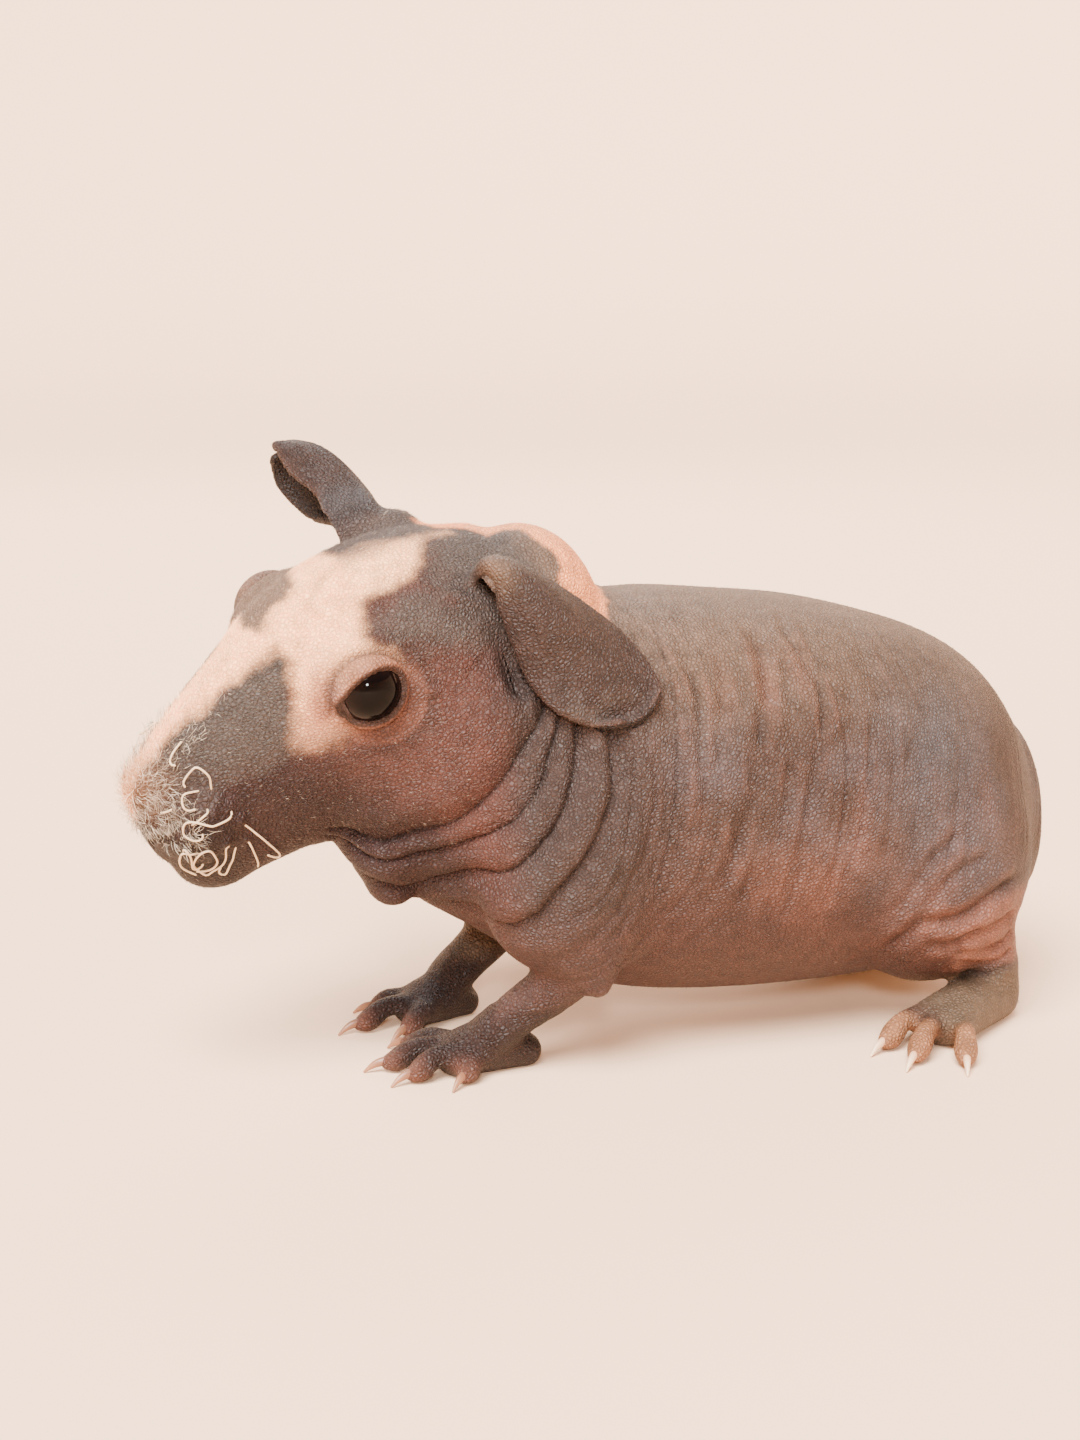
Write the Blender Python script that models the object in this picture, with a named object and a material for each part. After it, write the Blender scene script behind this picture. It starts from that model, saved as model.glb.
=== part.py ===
"""A skinny pig pup, a hairless guinea pig, as a still, life-size model.

The pig faces -X, its left side is -Y and up is +Z. Every size below is in millimetres in the
pig's own layout, and the finished nodes are moved so that the origin is the bottom centre of
the whole model, on the floor, and turned into metres.
"""

from math import cos, pi, radians, sin

import bmesh
import bpy
import numpy as np
from mathutils import Matrix, Vector

MM = 0.001
GAP = 0.3  # clear space between two nodes that meet
FINE = 0.62  # grid size that the flesh is fused on
FLESH_FACES = 7800  # triangles that the fused flesh is thinned to
FACE_SHARE = 1.4  # how much denser the face stays than the rest
SOLE = 0.45  # height at which the soles are cut flat

# The head: its origin lies midway between the eyes, and points in it are (forward, left, up).
HEAD_ORIGIN = (-44.2, -5.0, 61.3)
HEAD_YAW, HEAD_PITCH, HEAD_ROLL = 6.2, 27.0, 19.9  # to its left, down, right side up
EYE_AT = (-1.4, 12.6, 1.0)
EYE_RADIUS = 4.9
EYE_LOOKS = (0.13, 0.98, 0.15)
EYE_OPENING = (6.8, 4.8, 3.7)  # reach to the front and to the back, half height, along the eyeball
EYE_TILT = 14.0  # how far the front end of the slit dips
LID_THICK = 0.9
LID_FOLD = 6.9  # distance of the fold over the upper lid from the middle of the slit

# Stations of the trunk along X: place, top, bottom, half width, all as heights over the floor.
TRUNK = (
    (-30, 57, 28, 14),
    (-24, 62, 22.5, 18.5),
    (-14, 66, 15.5, 22.5),
    (-3, 67.8, 10, 24.5),
    (9, 68.2, 7.4, 26.2),
    (20, 67.2, 6.5, 27.2),
    (32, 65.8, 6.2, 27.8),
    (44.5, 62.8, 6.6, 27.0),
    (56, 58.6, 8, 24),
    (64.0, 52.4, 10, 19.5),
    (69.2, 45.4, 13.5, 14),
)
TRUNK_ENDS = (5.0, 5.2)  # how far the rounded ends reach past the first and last station

# Stations of the head: place, top, widest level, bottom, half width.
SKULL = (
    (29.8, -2.4, -8.0, -17.0, 5.0),
    (26.5, 1.4, -9.0, -22.0, 7.0),
    (22.5, 3.8, -10.0, -24.2, 8.4),
    (17.0, 6.2, -10.0, -24.8, 9.9),
    (11.0, 8.5, -9.5, -25.4, 11.8),
    (5.0, 10.8, -9.0, -26.8, 14.0),
    (-1.0, 11.9, -8.5, -28.4, 15.8),
    (-8.0, 11.8, -8.5, -29.4, 17.2),
    (-15.0, 10.4, -8.5, -28.6, 17.6),
    (-22.0, 7.8, -8.5, -25.0, 16.6),
    (-29.0, 4.0, -8.5, -19.0, 13.5),
)
SKULL_ENDS = (2.2, 5.0)

# The neck: centre, half height, half width.
NECK = (
    ((-37, -4, 57), 18, 14),
    ((-25, -2, 51), 23, 18.5),
    ((-11, 0, 45), 26, 21.5),
    ((4, 0, 41), 26, 22),
)

# Creases behind the cheek, drawn round a centre on the head's middle plane, from the cheek
# outwards: each as angle in degrees and radius. A ring is taller than it is long by the aspect.
ROLL_CENTRE = (-5.0, 3.0)
ROLL_ASPECT = 1.3
ROLL_CREASES = (
    ((-140, 19.7), (-127, 17.3), (-112, 16.1), (-98, 16.4), (-82, 18.5), (-62, 22.8)),
    ((-138, 21.0), (-125, 19.5), (-105, 18.7), (-88, 20.1), (-72, 22.7), (-64, 24.0)),
    ((-139, 23.0), (-120, 21.3), (-106, 20.9), (-96, 21.8), (-84, 24.3), (-77, 27.4)),
    ((-142, 26.5), (-125, 26.0), (-110, 24.6), (-96, 25.6), (-88, 27.8), (-77, 31.5)),
)
ROLL_HEIGHTS = (1.5, 1.7, 2.0)  # of the roll after each crease
ROLL_SINK = 1.1

# Creases of the flank, the thigh and the ankle: depth, then (X, height) points down each.
SIDE_CREASES = (
    (0.5, ((5.6, 62.9), (7.0, 56.0), (6.0, 49.3), (6.1, 43.0), (5.6, 35))),
    (0.35, ((11.7, 60.7), (9.1, 50.5), (7.3, 42.5), (8.9, 33.8))),
    (0.55, ((18.3, 65.8), (18.2, 58.5), (14.7, 48.2), (12.4, 37.8), (8.2, 26.4))),
    (0.35, ((26.4, 65.7), (24.7, 60.6), (26.0, 54.7), (25.1, 48.8))),
    (0.35, ((19.7, 46.9), (17.2, 36.8), (15.7, 29.2))),
    (0.4, ((45.6, 57), (41.9, 48), (38.8, 35.9), (36.4, 23.8))),
    (0.6, ((47.1, 33.7), (42.2, 29.9), (38.6, 24.3), (37.7, 21.2))),
    (0.6, ((52.5, 29.2), (44.8, 26.1), (41.3, 21.4), (39.8, 18.7))),
    (1.1, ((59.6, 25.4), (53.4, 23.3), (45.6, 20.0), (37, 15))),
    (0.7, ((60.2, 19.6), (54.7, 17.9), (46.5, 15.9), (42.7, 16.5))),
    (0.6, ((60.6, 15.0), (54.0, 12.4), (47.7, 13.8))),
)
SIDE_CREASE_WIDTH = 0.95

TOE_RADIUS = 1.6
CLAW_RADIUS = 0.75

REGION_FACES = 220
EAR_THICK = 1.35  # at the middle of the ear; its rim is a little thinner
EAR_FINE = 0.33
EAR_FACES = 640


def clear_scene():
    """Empties the scene."""
    for obj in list(bpy.data.objects):
        bpy.data.objects.remove(obj, do_unlink=True)


def material(name, colour, roughness):
    """A plain Principled finish."""
    made = bpy.data.materials.new(name)
    made.use_nodes = True
    shader = made.node_tree.nodes["Principled BSDF"]
    shader.inputs["Base Color"].default_value = (*colour, 1)
    shader.inputs["Roughness"].default_value = roughness
    shader.inputs["Metallic"].default_value = 0
    return made


def head_matrix():
    """Takes a point of the head, (forward, left, up), to the pig's layout."""
    yaw, pitch, roll = (radians(a) for a in (HEAD_YAW, HEAD_PITCH, HEAD_ROLL))
    forward = Vector((-cos(pitch) * cos(yaw), -cos(pitch) * sin(yaw), -sin(pitch)))
    right = forward.cross(Vector((0, 0, 1))).normalized()
    up = right.cross(forward)
    right, up = right * cos(roll) + up * sin(roll), up * cos(roll) - right * sin(roll)
    turn = Matrix((forward, -right, up)).transposed()
    return Matrix.Translation(HEAD_ORIGIN) @ turn.to_4x4()


HEAD = head_matrix()


def in_head(points):
    """The same points, given in the head's own axes."""
    back = np.array(HEAD.inverted())
    return points @ back[:3, :3].T + back[:3, 3]


def out_of_head(point):
    return HEAD @ Vector(point)


def spline(places, values, at):
    """A natural cubic curve through the values, one column for each quantity."""
    x = np.asarray(places, float)
    y = np.asarray(values, float).reshape(len(x), -1)
    h = np.diff(x)
    slope = np.diff(y, axis=0) / h[:, None]
    n = len(x)
    system = np.zeros((n, n))
    right = np.zeros_like(y)
    system[0, 0] = system[-1, -1] = 1
    for i in range(1, n - 1):
        system[i, i - 1 : i + 2] = h[i - 1], 2 * (h[i - 1] + h[i]), h[i]
        right[i] = 3 * (slope[i] - slope[i - 1])
    c = np.linalg.solve(system, right)
    i = np.clip(np.searchsorted(x, at) - 1, 0, n - 2)
    t = (np.asarray(at) - x[i])[:, None]
    hi = h[i][:, None]
    b = slope[i] - hi * (2 * c[i] + c[i + 1]) / 3
    d = (c[i + 1] - c[i]) / (3 * hi)
    return y[i] + b * t + c[i] * t**2 + d * t**3


def mesh_object(name, points, faces):
    """A new object with this mesh, faces turned outwards."""
    mesh = bpy.data.meshes.new(name)
    mesh.from_pydata([tuple(p) for p in points], [], faces)
    work = bmesh.new()
    work.from_mesh(mesh)
    bmesh.ops.recalc_face_normals(work, faces=work.faces)
    if work.calc_volume(signed=True) < 0:
        bmesh.ops.reverse_faces(work, faces=work.faces)
    work.to_mesh(mesh)
    work.free()
    mesh.update()
    obj = bpy.data.objects.new(name, mesh)
    bpy.context.scene.collection.objects.link(obj)
    return obj


def skin_rings(name, rings):
    """A closed body over rings that have equally many points, with a cap at each end."""
    count = len(rings[0])
    points = [p for ring in rings for p in ring]
    faces = [tuple(range(count)), tuple(range(len(points) - count, len(points)))]
    for r in range(len(rings) - 1):
        a, b = r * count, (r + 1) * count
        for i in range(count):
            j = (i + 1) % count
            faces.append((a + i, a + j, b + j, b + i))
    return mesh_object(name, points, faces)


def rounded(t, power):
    """A point of a superellipse of half size 1."""
    c, s = cos(t), sin(t)
    return abs(c) ** (2 / power) * (1 if c > 0 else -1), abs(s) ** (2 / power) * (1 if s > 0 else -1)


def station_loft(name, stations, ends, place, step=2.0, sides=40, crown=2.15, base=2.15):
    """A body lofted through (place, top, widest level, bottom, half width) stations."""
    spots = np.array([s[0] for s in stations], float)
    order = np.argsort(spots)
    table = np.array([s[1:] for s in stations], float)[order]
    spots = spots[order]
    low_end, high_end = ends if stations[0][0] < stations[-1][0] else ends[::-1]
    count = int((spots[-1] - spots[0]) / step) + 1
    at = np.linspace(spots[0], spots[-1], count)
    rows = [(x, row, 1.0) for x, row in zip(at, spline(spots, table, at))]
    caps = 5
    for k in range(1, caps + 1):
        turn = pi / 2 * k / (caps + 0.35)
        rows.insert(0, (at[0] - low_end * sin(turn), rows[k - 1][1], cos(turn)))
        rows.append((at[-1] + high_end * sin(turn), rows[-1][1], cos(turn)))
    rings = []
    for x, (top, level, bottom, half), scale in rows:
        ring = []
        for i in range(sides):
            turn = 2 * pi * i / sides
            a, b = rounded(turn, crown if turn < pi else base)
            rise = (top - level) if b > 0 else (level - bottom)
            ring.append(place(x, a * half * scale, level + b * rise * scale))
        rings.append(ring)
    return skin_rings(name, rings)


def tube(name, stations, side=(0, 1, 0), step=1.2, sides=20, caps=4):
    """A rounded tube through (centre, half size across, half size along side) stations."""
    centres = np.array([s[0] for s in stations], float)
    sizes = np.array([s[1:] for s in stations], float)
    run = np.concatenate([[0], np.cumsum(np.linalg.norm(np.diff(centres, axis=0), axis=1))])
    count = max(3, int(run[-1] / step))
    at = np.linspace(0, run[-1], count)
    middle = spline(run, centres, at)
    size = np.maximum(spline(run, sizes, at), 0.3)
    ahead = np.gradient(middle, axis=0)
    rings = []
    for i in range(-caps, count + caps):
        k = min(max(i, 0), count - 1)
        beyond = (i - k) / (caps + 0.35)
        turn = pi / 2 * abs(beyond)
        forward = Vector(ahead[k]).normalized()
        across = Vector(side)
        across = (across - forward * across.dot(forward)).normalized()
        out = across.cross(forward)
        reach = min(size[k]) * sin(turn) * (1 if beyond > 0 else -1)
        centre = Vector(middle[k]) + forward * reach
        ring = []
        for j in range(sides):
            t = 2 * pi * j / sides
            ring.append(
                centre
                + out * (cos(t) * size[k][0] * cos(turn))
                + across * (sin(t) * size[k][1] * cos(turn))
            )
        rings.append(ring)
    return skin_rings(name, rings)


def ball(name, centre, radii, turn=None, rings=14, segments=22):
    """An egg or ball of the three half sizes, turned by a matrix if one is given."""
    mesh = bpy.data.meshes.new(name)
    work = bmesh.new()
    bmesh.ops.create_uvsphere(work, u_segments=segments, v_segments=rings, radius=1)
    shape = Matrix.Diagonal((*radii, 1))
    if turn is not None:
        shape = turn.to_4x4() @ shape
    bmesh.ops.transform(work, matrix=Matrix.Translation(centre) @ shape, verts=work.verts)
    work.to_mesh(mesh)
    work.free()
    obj = bpy.data.objects.new(name, mesh)
    bpy.context.scene.collection.objects.link(obj)
    return obj


def mirrored(side, point):
    """A point of the left side, or its like on the right side for side -1."""
    return (point[0], side * point[1], point[2])


def trunk():
    rows = [(x, top, bottom + 0.45 * (top - bottom), bottom, half) for x, top, bottom, half in TRUNK]
    return station_loft("trunk", rows, TRUNK_ENDS, lambda x, y, z: Vector((x, y, z)))


def skull():
    return station_loft(
        "skull", SKULL, SKULL_ENDS, lambda x, y, z: out_of_head((x, y, z)), step=1.5, crown=1.8, base=2.3
    )


def neck():
    rows = [(centre, high, wide) for centre, high, wide in NECK]
    return tube("neck", rows, step=2.5, sides=36)


def face_masses():
    """Cheeks, brows and lip pads on both sides, chin, nose and the root of the raised ear."""
    turn = HEAD.to_3x3()
    made = []
    for side in (1, -1):
        for name, centre, radii in (
            ("cheek", (-9, 8.5, -15), (14, 10, 14)),
            ("brow", (-1.2, 8.1, 1.0), (8.8, 7.4, 7.5)),
            ("lip", (24.6, 4.6, -9.5), (6.2, 5.4, 6.6)),
        ):
            centre = out_of_head(mirrored(side, centre))
            made.append(ball(f"{name}{side}", centre, radii, turn))
    made.append(ball("chin", out_of_head((22.5, 0, -19)), (7.5, 6.4, 6.2), turn))
    made.append(ball("nose", out_of_head((27.5, 0, -4.5)), (4.6, 4.8, 5.4), turn))
    made.append(ball("far_ear_root", out_of_head((-21.0, -11, 1.2)), (5.5, 4.2, 5.4), turn))
    return made


def body_masses():
    """Throat with its hanging fold, nape, shoulders and thighs."""
    made = [
        ball("throat", (-34.2, -4.5, 34), (5.9, 9, 5.5)),
        ball("throat_flap", (-33.3, -6, 28.8), (3.4, 4.6, 3.0)),
        ball("nape", (-13, -2.5, 62), (12.8, 12.5, 16.6)),
    ]
    for side in (1, -1):
        made.append(ball(f"shoulder{side}", (-9, -16 * side, 33), (15, 10, 19)))
        made.append(ball(f"thigh{side}", (48.6, -16 * side, 27), (17.2, 12, 19.5)))
    return made


FORE = {
    "left": {
        "arm": (((-10, -15.5, 34), 12, 9), ((-9.3, -19, 23), 9.5, 6.5), ((-7.6, -20.2, 14.8), 2.8, 2.6)),
        "forearm": (
            ((-6, -17.5, 20), 4.6, 4.2),
            ((-11.4, -15.4, 14.2), 4.1, 3.8),
            ((-16.8, -13, 9.6), 3.5, 3.6),
            ((-20.5, -11.3, 6.2), 3.3, 4.0),
        ),
        "heel": (-14.8, -9.6, 2.6),
        "palm": (-25.6, -9.6, 3.0),
        "toes": (
            ((-24.6, -5.6, 3.5), (-29.4, 0.6, 1.9)),
            ((-27.6, -8.0, 3.9), (-34.6, -6.2, 1.9)),
            ((-27.0, -11.4, 3.7), (-32.8, -12.2, 1.9)),
            ((-23.2, -13.0, 3.2), (-26.2, -15.6, 1.8)),
        ),
    },
    "right": {
        "arm": (((-10, 15.5, 34), 12, 9), ((-8.6, 19.5, 23), 9.5, 6.5), ((-6, 20.6, 14.4), 2.8, 2.6)),
        "forearm": (
            ((-2, 18, 20), 4.8, 4.2),
            ((-8.2, 16, 14.4), 4.1, 3.8),
            ((-14.2, 14.8, 9.8), 3.6, 3.6),
            ((-18.2, 14.4, 6.2), 3.3, 4.0),
        ),
        "heel": (-15.4, 15.2, 2.6),
        "palm": (-24.0, 13.0, 3.0),
        "toes": (
            ((-22.8, 9.2, 3.5), (-27.4, 6.6, 1.9)),
            ((-26.2, 12.0, 3.9), (-33.2, 11.6, 1.9)),
            ((-25.0, 15.2, 3.7), (-28.8, 18.4, 1.9)),
            ((-20.8, 16.8, 3.2), (-22.6, 20.2, 1.8)),
        ),
    },
}
HIND = {
    "left": {
        "shank": (
            ((54.4, -17, 26), 9.6, 8),
            ((57.2, -16.8, 17), 6.2, 6.0),
            ((58.8, -17.0, 10.5), 5.0, 5.0),
            ((59.8, -17.4, 4.8), 4.5, 4.4),
        ),
        "heel": (60.6, -17.4, 3.6),
        "palm": (45.8, -25.4, 3.7),
        "toes": (
            ((42.6, -22.9, 4.0), (36.2, -25.6, 2.0)),
            ((43.2, -27.6, 4.3), (37.2, -32.4, 2.0)),
            ((47.0, -30.0, 4.0), (43.4, -36.4, 2.0)),
        ),
    },
    "right": {
        "shank": (
            ((54.4, 16, 26), 9.6, 8),
            ((57.2, 15, 17), 6.2, 6.0),
            ((58.8, 14.6, 10.5), 5.0, 5.0),
            ((60.0, 14.6, 4.8), 4.5, 4.4),
        ),
        "heel": (61.0, 14.4, 3.6),
        "palm": (46.4, 22.6, 3.7),
        "toes": (
            ((43.4, 20.2, 4.0), (37.0, 22.6, 2.0)),
            ((43.8, 24.8, 4.3), (38.0, 29.6, 2.0)),
            ((47.6, 27.2, 4.0), (44.2, 33.6, 2.0)),
        ),
    },
}


def toe(name, root, tip):
    """One toe from its knuckle down to the pad at its tip."""
    a, b = Vector(root), Vector(tip)
    middle = a.lerp(b, 0.45) + Vector((0, 0, 0.9))
    pad = a.lerp(b, 0.86) + Vector((0, 0, -0.1))
    rows = (
        (a, TOE_RADIUS * 1.15, TOE_RADIUS * 1.15),
        (middle, TOE_RADIUS, TOE_RADIUS * 1.02),
        (pad, TOE_RADIUS * 1.08, TOE_RADIUS * 1.12),
        (b, TOE_RADIUS * 0.8, TOE_RADIUS * 0.85),
    )
    return tube(name, rows, side=(b - a).cross(Vector((0, 0, 1))), step=0.8, sides=14)


def fore_limb(label, limb):
    """Upper arm with the loose skin at the elbow, forearm, palm and toes."""
    heel, palm = Vector(limb["heel"]), Vector(limb["palm"])
    made = [
        tube(f"arm_{label}", limb["arm"]),
        tube(f"forearm_{label}", limb["forearm"]),
        tube(
            f"palm_{label}",
            (
                (heel, 2.6, 3.4),
                (heel.lerp(palm, 0.5) + Vector((0, 0, 1.0)), 3.8, 4.4),
                (palm, 2.9, 5.0),
            ),
        ),
    ]
    made += [toe(f"toe_{label}{i}", *pair) for i, pair in enumerate(limb["toes"])]
    return made


def hind_limb(label, limb):
    """Shank, long hind foot and toes."""
    heel, palm = Vector(limb["heel"]), Vector(limb["palm"])
    across = (palm - heel).cross(Vector((0, 0, 1)))
    made = [
        tube(f"shank_{label}", limb["shank"]),
        tube(
            f"sole_{label}",
            (
                (heel, 3.6, 3.8),
                (heel.lerp(palm, 0.5) + Vector((0, 0, 0.5)), 4.0, 4.6),
                (palm, 3.4, 5.4),
            ),
            side=across,
        ),
    ]
    made += [toe(f"hind_toe_{label}{i}", *pair) for i, pair in enumerate(limb["toes"])]
    return made


def evaluated(obj):
    """The object's points and faces as its modifiers leave them, and the object removed."""
    graph = bpy.context.evaluated_depsgraph_get()
    mesh = bpy.data.meshes.new_from_object(obj.evaluated_get(graph))
    points = np.empty(len(mesh.vertices) * 3)
    mesh.vertices.foreach_get("co", points)
    faces = [tuple(p.vertices) for p in mesh.polygons]
    bpy.data.meshes.remove(mesh)
    bpy.data.objects.remove(obj, do_unlink=True)
    return points.reshape(-1, 3), faces


def fused(pieces, size):
    """All the closed pieces as one closed skin, rebuilt on a grid of this size."""
    points, faces = [], []
    for piece in pieces:
        start = len(points)
        points += [tuple(v.co) for v in piece.data.vertices]
        faces += [tuple(start + i for i in p.vertices) for p in piece.data.polygons]
        bpy.data.objects.remove(piece, do_unlink=True)
    mesh = bpy.data.meshes.new("fused")
    mesh.from_pydata(points, [], faces)
    obj = bpy.data.objects.new("fused", mesh)
    bpy.context.scene.collection.objects.link(obj)
    remesh = obj.modifiers.new("grid", "REMESH")
    remesh.mode = "VOXEL"
    remesh.voxel_size = size
    return evaluated(obj)


def edges_of(faces):
    pairs = {tuple(sorted((f[i - 1], f[i]))) for f in faces for i in range(len(f))}
    return np.array(sorted(pairs))


def relax(points, edges, weight, rounds):
    """Moves each point towards the mean of its neighbours by its weight, so many times."""
    count = np.bincount(edges.ravel(), minlength=len(points))[:, None]
    a, b = edges[:, 0], edges[:, 1]
    for _ in range(rounds):
        total = np.stack(
            [
                np.bincount(a, points[b, k], len(points)) + np.bincount(b, points[a, k], len(points))
                for k in range(3)
            ],
            axis=1,
        )
        points = points + weight[:, None] * (total / count - points)
    return points


def normals_of(points, faces):
    quads = np.array([f if len(f) == 4 else (*f, f[0]) for f in faces])
    face = np.cross(points[quads[:, 2]] - points[quads[:, 0]], points[quads[:, 3]] - points[quads[:, 1]])
    total = np.zeros_like(points)
    for k in range(4):
        for axis in range(3):
            total[:, axis] += np.bincount(quads[:, k], face[:, axis], len(points))
    return total / np.maximum(np.linalg.norm(total, axis=1), 1e-9)[:, None]


def step(low, high, value):
    """0 below low, 1 above high, smooth between."""
    t = np.clip((value - low) / (high - low), 0, 1)
    return t * t * (3 - 2 * t)


def bell(value, width):
    return np.exp(-((value / width) ** 2))


def distance_to(points, line):
    """How far each point is from a smooth line through a few points."""
    line = np.asarray(line, float)
    run = np.arange(len(line))
    fine = spline(run, line, np.linspace(0, run[-1], 12 * len(line)))
    best = np.full(len(points), np.inf)
    for a, b in zip(fine[:-1], fine[1:]):
        ab = b - a
        t = np.clip((points - a) @ ab / (ab @ ab), 0, 1)
        best = np.minimum(best, np.linalg.norm(points - a - t[:, None] * ab, axis=1))
    return best


SOFT_JOINS = (
    ((-22, -2, 50), 34),
    ((-9, -18, 24), 15),
    ((-9, 18, 24), 15),
    ((52, -20, 24), 26),
    ((52, 20, 24), 26),
)


def soften(points, edges):
    """Blends the joins between the masses and leaves the feet and the face crisp."""
    weight = np.zeros(len(points))
    for centre, radius in SOFT_JOINS:
        away = np.linalg.norm(points - np.array(centre), axis=1)
        weight = np.maximum(weight, 1 - step(0.55 * radius, radius, away))
    local = in_head(points)
    weight = np.maximum(weight, 0.5 * step(-26, 30, local[:, 0]))
    weight *= step(8.5, 15, points[:, 2])
    points = relax(points, edges, 0.5 * weight, 46)
    return relax(points, edges, np.full(len(points), 0.5), 5)


def rolls(points):
    """How far the skin rises into the rolls behind the cheek and sinks at their creases."""
    local = in_head(points)
    along, up = local[:, 0] - ROLL_CENTRE[0], local[:, 2] - ROLL_CENTRE[1]
    radius = np.hypot(along, up / ROLL_ASPECT)
    angle = np.degrees(np.arctan2(up, along))
    at = [np.interp(angle, *np.array(crease).T) for crease in ROLL_CREASES]
    beyond = np.where(radius < at[0], (at[0] - radius) / 1.2, (radius - at[-1]) / 1.4)
    lift = np.where(beyond > 0, -ROLL_SINK * np.exp(-np.maximum(beyond, 0)), 0)
    for low, high, height in zip(at[:-1], at[1:], ROLL_HEIGHTS):
        t = (radius - low) / (high - low)
        crest = height * np.clip(1 - (2 * t - 1) ** 2, 0, 1) ** 0.6
        lift = np.where((t >= 0) & (t <= 1), crest - ROLL_SINK, lift)
    zone = step(-156, -141, angle) * step(-52, -64, angle) * step(7, 13, radius)
    return lift * zone * step(5, 9, points[:, 2])


def side_creases(points):
    """How far the skin sinks at the creases of flank, thigh and ankle and rises beside them."""
    lift = np.zeros(len(points))
    outer = step(6, 13, np.abs(points[:, 1]))
    flat = points[:, [0, 2]]
    reach = 4 * SIDE_CREASE_WIDTH
    for depth, run in SIDE_CREASES:
        low, high = np.min(run, axis=0) - reach, np.max(run, axis=0) + reach
        near = np.nonzero(np.all((flat > low) & (flat < high), axis=1) & (outer > 0))[0]
        away = distance_to(flat[near], run)
        beside = bell(away - 2.3 * SIDE_CREASE_WIDTH, 1.3 * SIDE_CREASE_WIDTH)
        lift[near] += depth * outer[near] * (0.5 * beside - bell(away, SIDE_CREASE_WIDTH))
    return lift


def socket(points, side):
    """Lays the lids over the eyeball and opens the gap between them."""
    local = in_head(points) * np.array([1, side, 1])
    centre = np.array(EYE_AT)
    looks = np.array(Vector(EYE_LOOKS).normalized())
    along = np.array([1.0, 0, 0]) - looks[0] * looks
    along /= np.linalg.norm(along)
    upward = np.cross(along, looks)
    upward *= np.sign(upward[2])
    offset = local - centre
    reach = np.maximum(np.linalg.norm(offset, axis=1), 1e-6)
    a, b, outward = offset @ along, offset @ upward, offset @ looks
    planar = np.maximum(np.hypot(a, b), 1e-6)
    arc = EYE_RADIUS * np.arctan2(planar, outward) + np.maximum(reach - EYE_RADIUS - 1.6, 0)
    tilt = radians(EYE_TILT)
    a, b = (a * cos(tilt) - b * sin(tilt)) * arc / planar, (a * sin(tilt) + b * cos(tilt)) * arc / planar
    front, back, height = EYE_OPENING
    power = np.where(a > 0, 1.45, 1.95)
    out = (np.abs(a / np.where(a > 0, front, back)) ** power + np.abs(b / height) ** power) ** (1 / power)
    near = (outward > -3) & (reach < 14)
    wrapped = np.where(out < 1, EYE_RADIUS - 0.8, EYE_RADIUS + LID_THICK)
    blend = np.where(out < 1, 1.0, 1 - step(5.5, 8.3, arc)) * near
    target = centre + offset / reach[:, None] * wrapped[:, None]
    moved = local + blend[:, None] * (target - local)
    crease = near * bell(arc - LID_FOLD, 0.5) * step(-1.5, 1.5, b) * 0.4
    moved -= offset / reach[:, None] * crease[:, None]
    there = np.array(HEAD)
    return (moved * np.array([1, side, 1])) @ there[:3, :3].T + there[:3, 3]


NOSTRIL = ((31.2, 1.4, -5.6), (30.8, 2.6, -4.4), (29.6, 3.8, -3.0))
MOUTH = ((31.4, 0, -12.5), (31.3, 3.2, -9.0), (30.6, 4.8, -7.9), (29.6, 6.0, -6.8), (28.6, 7.0, -6.0))
PHILTRUM = ((33, 0, -5.5), (32.5, 0, -8.5), (31.5, 0, -12.3))


def face_lines(points):
    """Nostrils, the split of the lip and the line of the mouth, as depths."""
    local = in_head(points) * np.array([1, 1, 1])
    local[:, 1] = np.abs(local[:, 1])
    sink = 1.3 * bell(distance_to(local, NOSTRIL), 0.85)
    sink = np.maximum(sink, 1.25 * bell(distance_to(local, MOUTH), 0.9))
    sink = np.maximum(sink, 0.7 * bell(distance_to(local, PHILTRUM), 0.8))
    return -sink


def sculpt(points, faces):
    """Works the folds and the features of the face into the fused skin."""
    edges = edges_of(faces)
    points = soften(points, edges)
    normals = normals_of(points, faces)
    points = points + normals * (rolls(points) + side_creases(points))[:, None]
    normals = normals_of(points, faces)
    points = points + normals * face_lines(points)[:, None]
    for side in (1, -1):
        points = socket(points, side)
    around = np.zeros(len(points))
    for side in (1, -1):
        away = np.linalg.norm(in_head(points) - np.array(mirrored(side, EYE_AT)), axis=1)
        around = np.maximum(around, 0.4 * (1 - step(6.5, 10.5, away)))
    return relax(points, edges, around, 3)


def thinned(name, points, faces, target, group=None):
    """The same body as an object with about so many triangles; a group given is all that thins."""
    obj = mesh_object("before", points, faces)
    thin = obj.modifiers.new("thin", "DECIMATE")
    thin.ratio = target / sum(len(f) - 2 for f in faces)
    thin.use_collapse_triangulate = True
    if group is not None:
        obj.vertex_groups.new(name="thin").add([int(i) for i in group], 1, "REPLACE")
        thin.vertex_group = "thin"
    return mesh_object(name, *evaluated(obj))


def boolean(obj, other, operation):
    """Applies one Boolean to obj and keeps the other object."""
    cut = obj.modifiers.new(operation.lower(), "BOOLEAN")
    cut.operation = operation
    cut.solver = "EXACT"
    cut.object = other
    graph = bpy.context.evaluated_depsgraph_get()
    mesh = bpy.data.meshes.new_from_object(obj.evaluated_get(graph))
    obj.modifiers.clear()
    old = obj.data
    obj.data = mesh
    bpy.data.meshes.remove(old)


def copy_of(obj, name):
    made = obj.copy()
    made.data = obj.data.copy()
    made.name = name
    bpy.context.scene.collection.objects.link(made)
    return made


def grown(obj, name, amount):
    """A copy of a body, swollen by this much along its normals."""
    made = copy_of(obj, name)
    for vertex, move in [(v, v.normal.copy()) for v in made.data.vertices]:
        vertex.co += move * amount
    return made


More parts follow.
